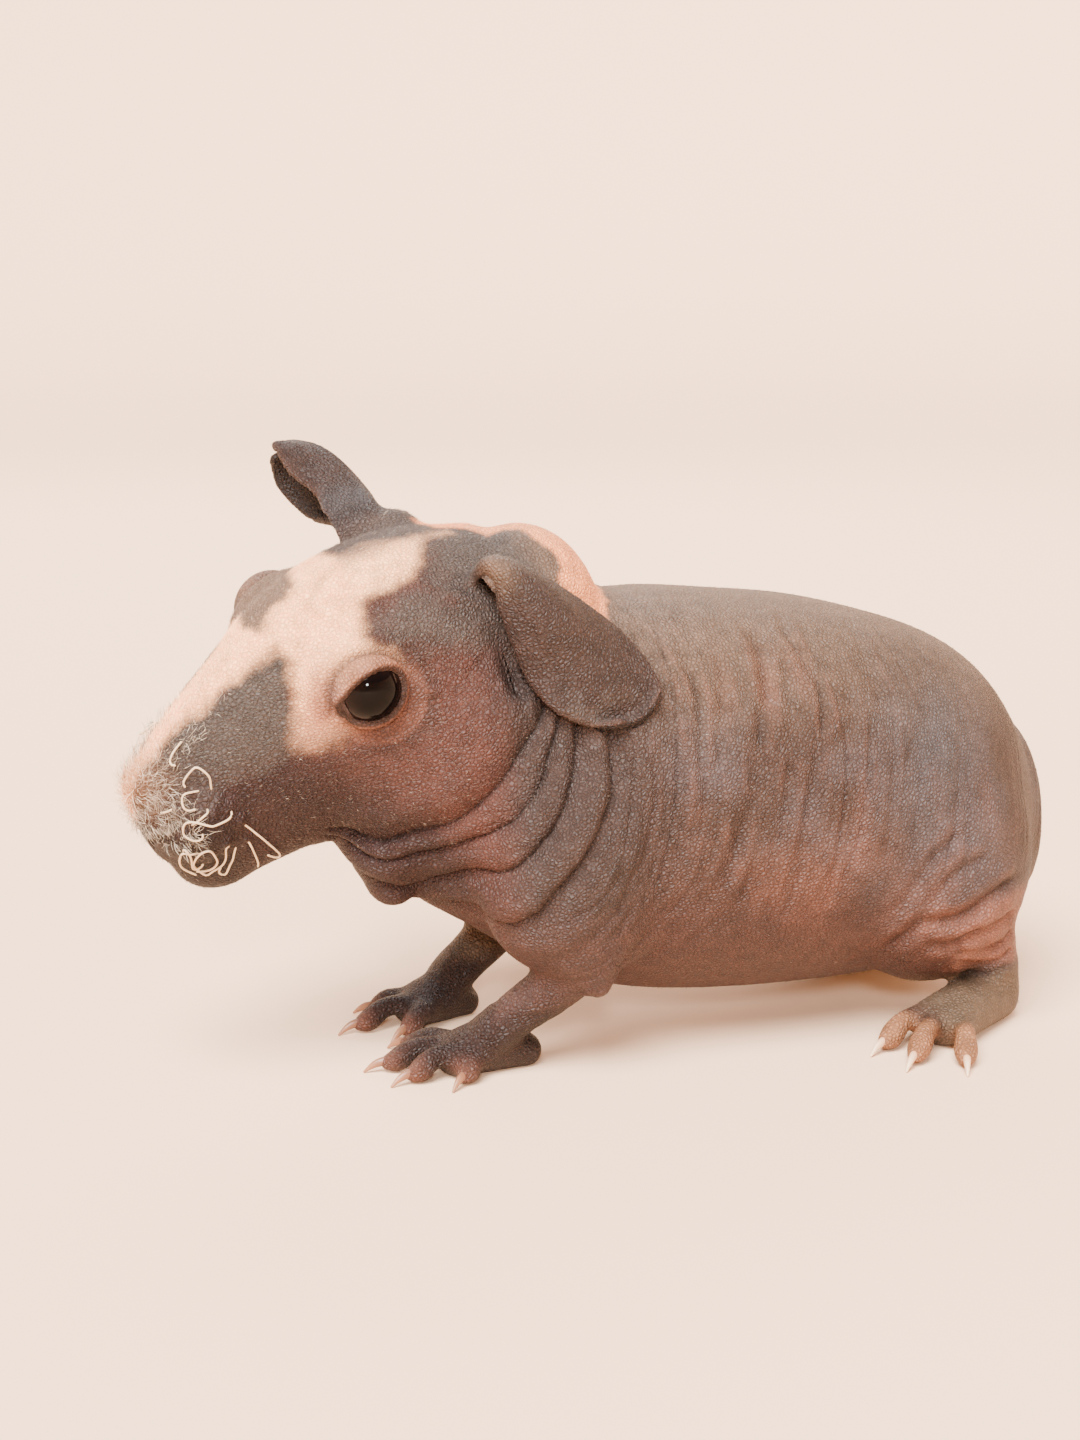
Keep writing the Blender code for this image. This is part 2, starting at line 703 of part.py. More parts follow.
def keep_largest(obj):
    """Drops every surface but the largest, so that a scrap or a sealed hollow goes."""
    work = bmesh.new()
    work.from_mesh(obj.data)
    bmesh.ops.triangulate(work, faces=work.faces)
    work.verts.ensure_lookup_table()
    seen, bodies = set(), []
    for start in work.verts:
        if start in seen:
            continue
        body, todo = [], [start]
        seen.add(start)
        while todo:
            vertex = todo.pop()
            body.append(vertex)
            for edge in vertex.link_edges:
                other = edge.other_vert(vertex)
                if other not in seen:
                    seen.add(other)
                    todo.append(other)
        bodies.append(body)
    bodies.sort(key=len)
    bmesh.ops.delete(work, geom=[v for body in bodies[:-1] for v in body], context="VERTS")
    work.to_mesh(obj.data)
    work.free()


def slab(name, point, normal, size, thick):
    """A wide plate through the point, square to the normal."""
    turn = Vector(normal).to_track_quat("Z", "Y").to_matrix().to_4x4()
    mesh = bpy.data.meshes.new(name)
    work = bmesh.new()
    bmesh.ops.create_cube(work, size=1)
    shape = Matrix.Translation(point) @ turn @ Matrix.Diagonal((size, size, thick, 1))
    bmesh.ops.transform(work, matrix=shape, verts=work.verts)
    work.to_mesh(mesh)
    work.free()
    obj = bpy.data.objects.new(name, mesh)
    bpy.context.scene.collection.objects.link(obj)
    return obj


def half_space(name, point, normal, size=260):
    """A large block whose near face passes through the point; the normal points into it."""
    direction = Vector(normal).normalized()
    return slab(name, Vector(point) + direction * size / 2, direction, size, size)


def drop(*objects):
    for obj in objects:
        bpy.data.objects.remove(obj, do_unlink=True)


LIMB_REGIONS = {
    "foreleg_left": (((-9, -22, 20), (13, 10, 13)), ((-22, -9, 4), (19, 13, 8.5)), ((-15, -14, 9), (12, 9, 9))),
    "foreleg_right": (((-8, 22.5, 20), (13, 10, 13)), ((-21, 14, 4), (19, 12.5, 8.5)), ((-13, 15, 9), (12, 8, 9))),
    "hindleg_left": (((56, -21, 24), (17, 12, 19)), ((49, -25, 3), (24, 20, 6.6)), ((59, -18, 9), (10, 10, 10))),
    "hindleg_right": (((56, 20, 24), (17, 12, 19)), ((50, 23, 3), (24, 20, 6.6)), ((59, 16, 9), (10, 10, 10))),
}


def region(name, balls, place=Vector, turn=None):
    """The closed space that one node takes of the flesh."""
    parts = [ball(f"{name}_{i}", place(at), radii, turn) for i, (at, radii) in enumerate(balls)]
    return thinned(f"{name}_space", *fused(parts, 1.5), REGION_FACES)


def parted(flesh, name, space):
    """Takes the node out of the flesh: what lies in the space, with a gap left round it."""
    node = copy_of(flesh, name)
    boolean(node, space, "INTERSECT")
    wider = grown(space, "wider", GAP)
    boolean(flesh, wider, "DIFFERENCE")
    drop(space, wider)
    return node


def bedded(flesh, piece):
    """Makes room in the flesh for a piece that sits in it."""
    bed = grown(piece, "bed", GAP)
    boolean(flesh, bed, "DIFFERENCE")
    drop(bed)


# The head ends at the first crease behind the cheek, and the neck at a plane over the shoulder.
HEAD_REGION = (((-5, 0, 3), (22.9, 45, 29.8)), ((36, 0, 0), (35, 45, 45)))
NECK_CUT = ((-5, 0, 45), (-0.93, 0, 0.37))


def claw(name, root, tip):
    """A curved claw that leaves the toe's tip and ends just over the floor."""
    a, b = Vector(root), Vector(tip)
    ahead = b - a
    ahead.z = 0
    ahead.normalize()
    start = b + Vector((0, 0, 0.35)) - ahead * 0.6
    end = b + ahead * 3.3
    end.z = SOLE + 0.4
    middle = start.lerp(end, 0.55) + Vector((0, 0, 0.5))
    rows = ((start, CLAW_RADIUS, CLAW_RADIUS), (middle, 0.62, 0.55), (end, 0.3, 0.3))
    return tube(name, rows, side=ahead.cross(Vector((0, 0, 1))), step=1.5, sides=6, caps=1)


# Each ear as stations from root to tip: front edge, middle of the back and rear edge.
EARS = {
    "ear_left": (
        ((-21.5, 9.0, 2.5), (-24.5, 8.5, 5.0), (-29.0, 8.5, -1.5)),
        ((-21.8, 13.5, 5.2), (-25.0, 14.8, 9.0), (-30.6, 13.2, 1.4)),
        ((-21.4, 18.0, -1.4), (-26.6, 21.0, 1.4), (-33.4, 17.4, -2.6)),
        ((-20.9, 20.8, -7.1), (-28.1, 23.6, -5.1), (-36.6, 20.7, -8.4)),
        ((-21.8, 25.2, -10.7), (-29.3, 26.6, -11.0), (-37.3, 25.4, -13.1)),
        ((-24.9, 27.4, -13.7), (-30.9, 28.1, -15.4), (-36.3, 27.9, -14.7)),
        ((-27.9, 29.3, -14.4), (-31.2, 28.9, -15.7), (-33.5, 29.1, -15.3)),
    ),
    "ear_right": (
        ((-14.2, -8.6, 2.0), (-23.4, -9.0, 1.5), (-17.6, -12.4, -2.0)),
        ((-14.2, -13.2, 7.4), (-22.8, -13.8, 6.0), (-16.8, -18.6, 2.6)),
        ((-16.0, -19.0, 9.8), (-23.6, -19.0, 6.2), (-16.8, -26.0, 0.8)),
        ((-15.4, -24.0, 11.6), (-23.4, -25.0, 8.8), (-16.4, -32.0, 2.4)),
        ((-15.9, -27.0, 13.2), (-21.6, -29.2, 10.8), (-16.2, -34.0, 5.8)),
        ((-16.2, -29.6, 13.6), (-19.0, -31.2, 12.0), (-16.4, -33.2, 9.6)),
    ),
}


def ear(name, stations, rings=24, sides=13):
    """A thin cupped petal that springs from the head and opens into a flap."""
    edges = np.array([[out_of_head(p) for p in row] for row in stations])
    spots = np.linspace(0, 1, len(stations))
    at = np.linspace(0, 1, rings)
    front, back, rear = (spline(spots, edges[:, k], at)[:, None, :] for k in range(3))
    u = np.linspace(-1, 1, sides)[None, :, None]
    outer = back + u * (rear - front) / 2 + u**2 * ((front + rear) / 2 - back)
    facing = np.cross(np.gradient(outer, axis=1), np.gradient(outer, axis=0))
    facing /= np.linalg.norm(facing, axis=2, keepdims=True)
    facing *= np.sign(np.sum(facing * (back - (front + rear) / 2)))
    thick = EAR_THICK * (0.72 + 0.28 * (1 - u**2)) * (1 - 0.12 * at[:, None, None])
    inner = outer - facing * thick
    rings = [[Vector(p) for p in (*o, *i[::-1])] for o, i in zip(outer, inner)]
    points, faces = fused([skin_rings(f"{name}_petal", rings)], EAR_FINE)
    points = relax(points, edges_of(faces), np.full(len(points), 0.4), 3)
    return thinned(name, points, faces, EAR_FACES)


def eye(name, side):
    centre = out_of_head(mirrored(side, EYE_AT))
    return ball(name, centre, (EYE_RADIUS,) * 3, HEAD.to_3x3(), rings=11, segments=16)


def build_flesh():
    pieces = [trunk(), skull(), neck(), *face_masses(), *body_masses()]
    for label, limb in FORE.items():
        pieces += fore_limb(label, limb)
    for label, limb in HIND.items():
        pieces += hind_limb(label, limb)
    points, faces = fused(pieces, FINE)
    points = sculpt(points, faces)
    points, faces = evaluated(thinned("rough", points, faces, FLESH_FACES * FACE_SHARE))
    rest = np.nonzero(in_head(points)[:, 0] < -12)[0]
    return thinned("flesh", points, faces, FLESH_FACES, rest)


def build():
    clear_scene()
    skin = material("skin", (0.24, 0.15, 0.13), 0.55)
    horn = material("claw", (0.75, 0.55, 0.4), 0.4)
    gloss = material("eye", (0.01, 0.008, 0.008), 0.05)
    flesh = build_flesh()
    floor = half_space("floor", (0, 0, SOLE), (0, 0, -1))
    boolean(flesh, floor, "DIFFERENCE")
    drop(floor)
    eyes = [eye("eye_left", 1), eye("eye_right", -1)]
    ears = [ear(name, stations) for name, stations in EARS.items()]
    for piece in eyes + ears:
        bedded(flesh, piece)
    legs = {name: parted(flesh, name, region(name, balls)) for name, balls in LIMB_REGIONS.items()}
    head_space = region("head", HEAD_REGION, out_of_head, HEAD.to_3x3())
    nodes = [parted(flesh, "head", head_space), *legs.values()]
    at, way = Vector(NECK_CUT[0]), Vector(NECK_CUT[1]).normalized()
    for name, side in (("neck", way), ("torso", -way)):
        block = half_space("block", at + side * GAP / 2, side)
        nodes.append(copy_of(flesh, name))
        boolean(nodes[-1], block, "INTERSECT")
        drop(block)
    drop(flesh)
    claws = []
    for kind, limbs in (("foreleg", FORE), ("hindleg", HIND)):
        for label, limb in limbs.items():
            for i, pair in enumerate(limb["toes"]):
                claws.append(claw(f"claw_{kind}_{label}_{i + 1}", *pair))
                bedded(legs[f"{kind}_{label}"], claws[-1])
    finish(nodes + ears, skin)
    finish(eyes, gloss)
    finish(claws, horn)
    settle(nodes + ears + eyes + claws)


def finish(objects, look):
    """Keeps each node's main body and gives it its finish."""
    for obj in objects:
        keep_largest(obj)
        obj.data.materials.clear()
        obj.data.materials.append(look)
        obj.data.shade_smooth()


def settle(nodes):
    """Puts the origin at the bottom centre of the whole model and turns the sizes into metres."""
    corners = np.array([v.co[:] for obj in nodes for v in obj.data.vertices])
    low, high = corners.min(axis=0), corners.max(axis=0)
    centre = Vector(((low[0] + high[0]) / 2, (low[1] + high[1]) / 2, low[2]))
    for obj in nodes:
        obj.data.transform(Matrix.Scale(MM, 4) @ Matrix.Translation(-centre))


build()
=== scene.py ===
"""A skinny pig pup, a hairless guinea pig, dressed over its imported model.

Shapes are worked in millimetres in the pig's own layout, in which it faces -X with its left side
towards -Y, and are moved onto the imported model, in metres, as they become meshes.
"""

from __future__ import annotations

import logging
from collections.abc import Callable
from dataclasses import dataclass, field
from enum import Enum
from math import cos, pi, radians, sin

import bmesh
import bpy
import numpy as np
from mathutils import Matrix, Vector
from mathutils.kdtree import KDTree

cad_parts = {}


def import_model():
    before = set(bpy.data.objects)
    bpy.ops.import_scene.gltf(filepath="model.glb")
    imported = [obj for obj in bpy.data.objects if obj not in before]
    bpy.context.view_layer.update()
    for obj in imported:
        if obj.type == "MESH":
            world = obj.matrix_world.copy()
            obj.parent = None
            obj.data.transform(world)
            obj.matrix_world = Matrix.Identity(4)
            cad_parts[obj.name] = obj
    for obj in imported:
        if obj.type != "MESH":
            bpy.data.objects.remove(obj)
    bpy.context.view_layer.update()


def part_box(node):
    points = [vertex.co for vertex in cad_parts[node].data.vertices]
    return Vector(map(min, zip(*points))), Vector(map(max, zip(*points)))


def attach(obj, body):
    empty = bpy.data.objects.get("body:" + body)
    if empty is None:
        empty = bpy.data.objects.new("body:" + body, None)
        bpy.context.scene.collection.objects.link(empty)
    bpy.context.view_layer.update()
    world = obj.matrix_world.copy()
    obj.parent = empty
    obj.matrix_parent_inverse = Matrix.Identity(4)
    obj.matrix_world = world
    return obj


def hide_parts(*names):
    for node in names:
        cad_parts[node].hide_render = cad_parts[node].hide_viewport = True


LOG = logging.getLogger("skinny_pig")
MM = 0.001
SOLE = 0.45

Triple = tuple[float, float, float]
Faces = list[tuple[int, ...]]
Mixer = Callable[[np.ndarray, Triple, np.ndarray], np.ndarray]


class Side(Enum):
    """The two sides of the body, as the sign of the head's own left axis."""

    LEFT = 1
    RIGHT = -1


class Limb(Enum):
    """The kinds of limb."""

    FORE = "foreleg"
    HIND = "hindleg"


@dataclass(frozen=True)
class HeadAxes:
    """The head's own axes, forward, left and up, from a point midway between the eyes.

    Args:
        origin: Where that point lies in the layout.
        yaw: Turn to the pig's left, in degrees.
        pitch: Nod down, in degrees.
        roll: Lift of the right side, in degrees.
    """

    origin: Triple = (-44.2, -5.0, 61.3)
    yaw: float = 6.2
    pitch: float = 27.0
    roll: float = 19.9

    @property
    def matrix(self) -> Matrix:
        """The matrix from the head's axes to the layout."""
        yaw, pitch, roll = (radians(a) for a in (self.yaw, self.pitch, self.roll))
        forward = Vector((-cos(pitch) * cos(yaw), -cos(pitch) * sin(yaw), -sin(pitch)))
        right = forward.cross(Vector((0, 0, 1))).normalized()
        up = right.cross(forward)
        right, up = right * cos(roll) + up * sin(roll), up * cos(roll) - right * sin(roll)
        turn = Matrix((forward, -right, up)).transposed()
        return Matrix.Translation(self.origin) @ turn.to_4x4()

    @property
    def turn(self) -> Matrix:
        """The turn alone."""
        return self.matrix.to_3x3()

    def inside(self, points: np.ndarray) -> np.ndarray:
        """Gives layout points in the head's axes.

        Args:
            points: One row for each point of the layout.

        Returns:
            Rows of forward, left and up.
        """
        back = np.array(self.matrix.inverted())
        return points @ back[:3, :3].T + back[:3, 3]

    def outside(self, points: np.ndarray) -> np.ndarray:
        """Gives points of the head's axes in the layout.

        Args:
            points: Rows of forward, left and up.

        Returns:
            One row for each point of the layout.
        """
        there = np.array(self.matrix)
        return points @ there[:3, :3].T + there[:3, 3]

    def spot(self, point: Triple, side: Side = Side.LEFT) -> Vector:
        """Gives one point of the head in the layout, on the side asked for."""
        return self.matrix @ Vector((point[0], side.value * point[1], point[2]))


HEAD = HeadAxes()


@dataclass(frozen=True)
class Eyeball:
    """The eye's place, size and look, in the head's axes."""

    at: Triple = (-1.4, 12.6, 1.0)
    radius: float = 4.9
    looks: Triple = (0.13, 0.98, 0.15)

    def axes(self) -> np.ndarray:
        """Gives the rows along the slit, upward and outward of the left eye."""
        looks = np.array(Vector(self.looks).normalized())
        along = np.array([1.0, 0, 0]) - looks[0] * looks
        along /= np.linalg.norm(along)
        upward = np.cross(along, looks)
        upward *= np.sign(upward[2])
        return np.array([along, upward, looks])


EYE = Eyeball()


@dataclass(frozen=True)
class Place:
    """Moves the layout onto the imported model.

    Args:
        origin: The layout's point, in millimetres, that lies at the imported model's origin.
    """

    origin: Triple

    def metres(self, points: np.ndarray) -> np.ndarray:
        """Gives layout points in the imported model's metres."""
        return (points - np.array(self.origin)) * MM

    @classmethod
    def from_model(cls) -> Place:
        """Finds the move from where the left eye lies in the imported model."""
        low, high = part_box("eye_left")
        centre = (np.array(low[:]) + np.array(high[:])) / 2 / MM
        return cls(tuple(np.array(HEAD.spot(EYE.at)) - centre))


def spline(places: np.ndarray, values: np.ndarray, at: np.ndarray) -> np.ndarray:
    """Runs a natural cubic curve through values.

    Args:
        places: Where the values stand.
        values: One row for each place.
        at: Where the curve is wanted.

    Returns:
        One row for each place wanted.
    """
    x = np.asarray(places, float)
    y = np.asarray(values, float).reshape(len(x), -1)
    h = np.diff(x)
    slope = np.diff(y, axis=0) / h[:, None]
    n = len(x)
    system = np.zeros((n, n))
    right = np.zeros_like(y)
    system[0, 0] = system[-1, -1] = 1
    for i in range(1, n - 1):
        system[i, i - 1 : i + 2] = h[i - 1], 2 * (h[i - 1] + h[i]), h[i]
        right[i] = 3 * (slope[i] - slope[i - 1])
    c = np.linalg.solve(system, right)
    i = np.clip(np.searchsorted(x, at) - 1, 0, n - 2)
    t = (np.asarray(at) - x[i])[:, None]
    hi = h[i][:, None]
    b = slope[i] - hi * (2 * c[i] + c[i + 1]) / 3
    d = (c[i + 1] - c[i]) / (3 * hi)
    return y[i] + b * t + c[i] * t**2 + d * t**3


def step(low: float, high: float, value: np.ndarray) -> np.ndarray:
    """Rises smoothly from 0 at low to 1 at high, either way round."""
    t = np.clip((value - low) / (high - low), 0, 1)
    return t * t * (3 - 2 * t)


def bell(value: np.ndarray, width: float) -> np.ndarray:
    """Falls from 1 at 0 over about the width."""
    return np.exp(-((value / width) ** 2))


def mottle(points: np.ndarray, size: float | Triple, seed: int) -> np.ndarray:
    """Gives smooth random values over space.

    Args:
        points: One row for each point.
        size: How far apart the lumps lie, for all axes or for each.
        seed: Names one pattern.

    Returns:
        Values from -1 to 1.
    """
    cell = points / np.asarray(size, float) + 500.5
    base = np.floor(cell).astype(np.int64)
    t = cell - base
    t = t * t * (3 - 2 * t)
    total = np.zeros(len(points))
    for corner in np.ndindex(2, 2, 2):
        key = base + np.array(corner)
        h = (key[:, 0] * 73856093) ^ (key[:, 1] * 19349663) ^ (key[:, 2] * 83492791) ^ (seed * 7919)
        h = ((h ^ (h >> 13)) * 1274126177) & 0xFFFFFFFF
        h = ((h ^ (h >> 15)) * 2246822519) & 0xFFFFFFFF
        weight = np.prod(np.where(corner, t, 1 - t), axis=1)
        total += weight * ((h ^ (h >> 16)) / 0xFFFFFFFF * 2 - 1)
    return total


def body_of_rings(rings: np.ndarray) -> tuple[np.ndarray, Faces]:
    """Skins rings of equally many points, with a cap at each end.

    Args:
        rings: Rings, points, coordinates.

    Returns:
        The points and the faces.
    """
    many, count = rings.shape[:2]
    last = many * count
    faces: Faces = [tuple(range(count))[::-1], tuple(range(last - count, last))]
    for r in range(many - 1):
        a, b = r * count, (r + 1) * count
        faces += [(a + i, a + (i + 1) % count, b + (i + 1) % count, b + i) for i in range(count)]
    return rings.reshape(-1, 3), faces


def loft(
    stations: np.ndarray, ends: tuple[float, float], grain: float, sides: int, crown: float, base: float
) -> np.ndarray:
    """Lofts a body through stations along its own axis.

    Args:
        stations: Rows of place, top, widest level, bottom and half width, by rising place.
        ends: How far the rounded ends reach past the first and the last station.
        grain: Step along the axis.
        sides: Points round a ring.
        crown: Squareness of the upper half; 2 is round.
        base: Squareness of the lower half.

    Returns:
        Rings of (place, across, height).
    """
    spots = stations[:, 0]
    count = int((spots[-1] - spots[0]) / grain) + 1
    at = np.linspace(spots[0], spots[-1], count)
    rows = [(x, row, 1.0) for x, row in zip(at, spline(spots, stations[:, 1:], at))]
    caps = 8
    for k in range(1, caps + 1):
        turn = pi / 2 * k / (caps + 0.35)
        rows.insert(0, (at[0] - ends[0] * sin(turn), rows[k - 1][1], cos(turn)))
        rows.append((at[-1] + ends[1] * sin(turn), rows[-1][1], cos(turn)))
    angle = 2 * pi * np.arange(sides) / sides
    power = np.where(angle < pi, crown, base)
    a = np.sign(np.cos(angle)) * np.abs(np.cos(angle)) ** (2 / power)
    b = np.sign(np.sin(angle)) * np.abs(np.sin(angle)) ** (2 / power)
    rings = []
    for x, (top, level, bottom, half), scale in rows:
        rise = np.where(b > 0, top - level, level - bottom)
        rings.append(np.stack([np.full(sides, x), a * half * scale, level + b * rise * scale], axis=1))
    return np.array(rings)


def tube(
    stations: list[tuple], side: Triple = (0, 1, 0), grain: float = 0.8, sides: int = 28, caps: int = 6
) -> tuple[np.ndarray, Faces]:
    """Runs a rounded tube through stations.

    Args:
        stations: Rows of centre, half size across and half size along side.
        side: The way that the second half size lies.
        grain: Step along the tube.
        sides: Points round a ring.
        caps: Rings in each rounded end.

    Returns:
        The points and the faces.
    """
    centres = np.array([s[0] for s in stations], float)
    sizes = np.array([s[1:] for s in stations], float)
    run = np.concatenate([[0], np.cumsum(np.linalg.norm(np.diff(centres, axis=0), axis=1))])
    count = max(3, int(run[-1] / grain))
    at = np.linspace(0, run[-1], count)
    middle = spline(run, centres, at)
    size = np.maximum(spline(run, sizes, at), 0.15)
    ahead = np.gradient(middle, axis=0)
    ahead /= np.linalg.norm(ahead, axis=1, keepdims=True)
    angle = 2 * pi * np.arange(sides)[:, None] / sides
    rings = []
    for i in range(-caps, count + caps):
        k = min(max(i, 0), count - 1)
        turn = pi / 2 * (i - k) / (caps + 0.35)
        across = np.array(side) - ahead[k] * (np.array(side) @ ahead[k])
        across /= np.linalg.norm(across)
        out = np.cross(across, ahead[k])
        centre = middle[k] + ahead[k] * (size[k].min() * sin(turn))
        ring = out * np.cos(angle) * size[k][0] + across * np.sin(angle) * size[k][1]
        rings.append(centre + cos(turn) * ring)
    return body_of_rings(np.array(rings))


def ball(centre: Triple | Vector, radii: Triple, turn: Matrix | None = None) -> tuple[np.ndarray, Faces]:
    """Makes an egg of three half sizes, turned where a turn is given.

    Args:
        centre: Its middle.
        radii: Its half sizes.
        turn: The turn of its axes.

    Returns:
        The points and the faces.
    """
    rings, segments = 26, 40
    lat = pi * (np.arange(rings) + 0.5) / rings - pi / 2
    lon = 2 * pi * np.arange(segments) / segments
    unit = np.stack(
        [
            np.outer(np.cos(lat), np.cos(lon)),
            np.outer(np.cos(lat), np.sin(lon)),
            np.outer(np.sin(lat), np.ones(segments)),
        ],
        axis=2,
    )
    shaped = unit * np.array(radii)
    if turn is not None:
        shaped = shaped @ np.array(turn).T
    return body_of_rings(shaped + np.array(centre))


def object_from(name: str, points: np.ndarray, faces: Faces) -> bpy.types.Object:
    """Links a new object with this mesh.

    Args:
        name: The piece's name.
        points: One row for each point, in metres or in the layout.
        faces: Its faces.

    Returns:
        The object.
    """
    mesh = bpy.data.meshes.new(name)
    mesh.from_pydata(points.tolist(), [], faces)
    mesh.update()
    made = bpy.data.objects.new(name, mesh)
    bpy.context.scene.collection.objects.link(made)
    return made


def fused(pieces: list[tuple[np.ndarray, Faces]], size: float) -> tuple[np.ndarray, Faces]:
    """Melts closed bodies into one skin on a grid.

    Args:
        pieces: Points and faces of each body.
        size: The grid's cell.

    Returns:
        The skin's points and faces.
    """
    points: list[np.ndarray] = []
    faces: Faces = []
    start = 0
    for piece_points, piece_faces in pieces:
        points.append(piece_points)
        faces += [tuple(start + i for i in f) for f in piece_faces]
        start += len(piece_points)
    made = object_from("melt", np.vstack(points), faces)
    work = bmesh.new()
    work.from_mesh(made.data)
    bmesh.ops.recalc_face_normals(work, faces=work.faces)
    work.to_mesh(made.data)
    work.free()
    grid = made.modifiers.new("grid", "REMESH")
    grid.mode = "VOXEL"
    grid.voxel_size = size
    graph = bpy.context.evaluated_depsgraph_get()
    mesh = bpy.data.meshes.new_from_object(made.evaluated_get(graph))
    out = np.empty(len(mesh.vertices) * 3)
    mesh.vertices.foreach_get("co", out)
    result = [tuple(p.vertices) for p in mesh.polygons]
    bpy.data.meshes.remove(mesh)
    bpy.data.objects.remove(made, do_unlink=True)
    return out.reshape(-1, 3), result


@dataclass
class Surface:
    """A mesh under work: its points and faces, with what follows from them."""

    points: np.ndarray
    faces: Faces
    edges: np.ndarray = field(init=False)
    quads: np.ndarray = field(init=False)

    def __post_init__(self) -> None:
        """Lists the edges and the corners once."""
        self.quads = np.array([f if len(f) == 4 else (*f, f[2]) for f in self.faces])
        pairs = np.concatenate([self.quads[:, [k, (k + 1) % 4]] for k in range(4)])
        pairs = np.unique(np.sort(pairs, axis=1), axis=0)
        self.edges = pairs[pairs[:, 0] != pairs[:, 1]]

    def relax(self, weight: np.ndarray | float, rounds: int, values: np.ndarray | None = None) -> np.ndarray:
        """Draws each point towards its neighbours' mean.

        Args:
            weight: How far, for all points or for each.
            rounds: How many times.
            values: What is drawn, if not the points.

        Returns:
            The values after it.
        """
        count = len(self.points)
        now = self.points if values is None else values
        many = np.bincount(self.edges.ravel(), minlength=count)[:, None]
        a, b = self.edges.T
        share = np.broadcast_to(np.asarray(weight, float), (count,))[:, None]
        for _ in range(rounds):
            columns = [
                np.bincount(a, now[b, k], count) + np.bincount(b, now[a, k], count)
                for k in range(now.shape[1])
            ]
            now = now + share * (np.stack(columns, axis=1) / many - now)
        return now

    def normals(self) -> np.ndarray:
        """Gives the outward direction at each point."""
        p, q = self.points, self.quads
        face = np.cross(p[q[:, 2]] - p[q[:, 0]], p[q[:, 3]] - p[q[:, 1]])
        total = np.zeros_like(p)
        for k in range(4):
            for axis in range(3):
                total[:, axis] += np.bincount(q[:, k], face[:, axis], len(p))
        return total / np.maximum(np.linalg.norm(total, axis=1), 1e-9)[:, None]

    def raised(self, lift: np.ndarray) -> None:
        """Moves each point out along its normal."""
        self.points = self.points + self.normals() * lift[:, None]

    def refined(self, pick: np.ndarray) -> Surface:
        """Halves the mesh where it is picked.

        Args:
            pick: True at each point of the region.

        Returns:
            The finer surface.
        """
        mesh = bpy.data.meshes.new("finer")
        mesh.from_pydata(self.points.tolist(), [], self.faces)
        work = bmesh.new()
        work.from_mesh(mesh)
        chosen = [e for e in work.edges if pick[e.verts[0].index] and pick[e.verts[1].index]]
        bmesh.ops.subdivide_edges(work, edges=chosen, cuts=1, use_grid_fill=True)
        bmesh.ops.triangulate(work, faces=[f for f in work.faces if len(f.verts) > 4])
        work.to_mesh(mesh)
        work.free()
        points = np.empty(len(mesh.vertices) * 3)
        mesh.vertices.foreach_get("co", points)
        faces = [tuple(p.vertices) for p in mesh.polygons]
        bpy.data.meshes.remove(mesh)
        return Surface(points.reshape(-1, 3), faces)


def from_line(points: np.ndarray, line: list[Triple]) -> np.ndarray:
    """Measures how far each point is from a smooth line.

    Args:
        points: One row for each point.
        line: A few points of the line.

    Returns:
        The distances.
    """
    known = np.asarray(line, float)
    run = np.arange(len(known))
    fine = spline(run, known, np.linspace(0, run[-1], 8 * len(known)))
    best = np.full(len(points), np.inf)
    for a, b in zip(fine[:-1], fine[1:]):
        ab = b - a
        t = np.clip((points - a) @ ab / (ab @ ab), 0, 1)
        best = np.minimum(best, np.linalg.norm(points - a - t[:, None] * ab, axis=1))
    return best


def near_run(points: np.ndarray, run: np.ndarray) -> tuple[np.ndarray, np.ndarray]:
    """Measures flat points against a smooth run.

    Args:
        points: Two columns.
        run: A few points of the run.

    Returns:
        How far each point is from it, and how far along it, from 0 to 1.
    """
    at = np.arange(len(run))
    fine = spline(at, run, np.linspace(0, at[-1], 6 * len(run)))
    best = np.full(len(points), np.inf)
    along = np.zeros(len(points))
    for k, (a, b) in enumerate(zip(fine[:-1], fine[1:])):
        ab = b - a
        t = np.clip((points - a) @ ab / (ab @ ab), 0, 1)
        away = np.linalg.norm(points - a - t[:, None] * ab, axis=1)
        along = np.where(away < best, (k + t) / (len(fine) - 1), along)
        best = np.minimum(best, away)
    return best, along


def inside_by(points: np.ndarray, outline: list[tuple[float, float]]) -> np.ndarray:
    """Measures how far flat points are inside a closed outline.

    Args:
        points: Two columns.
        outline: The corners in order.

    Returns:
        Distances to the outline, below 0 outside it.
    """
    corners = np.asarray(outline, float)
    best = np.full(len(points), np.inf)
    odd = np.zeros(len(points), bool)
    for a, b in zip(corners, np.roll(corners, -1, axis=0)):
        ab = b - a
        t = np.clip((points - a) @ ab / (ab @ ab), 0, 1)
        best = np.minimum(best, np.linalg.norm(points - a - t[:, None] * ab, axis=1))
        if a[1] != b[1]:
            across = (a[1] > points[:, 1]) != (b[1] > points[:, 1])
            odd ^= across & (points[:, 0] < a[0] + (points[:, 1] - a[1]) * ab[0] / ab[1])
    return np.where(odd, best, -best)


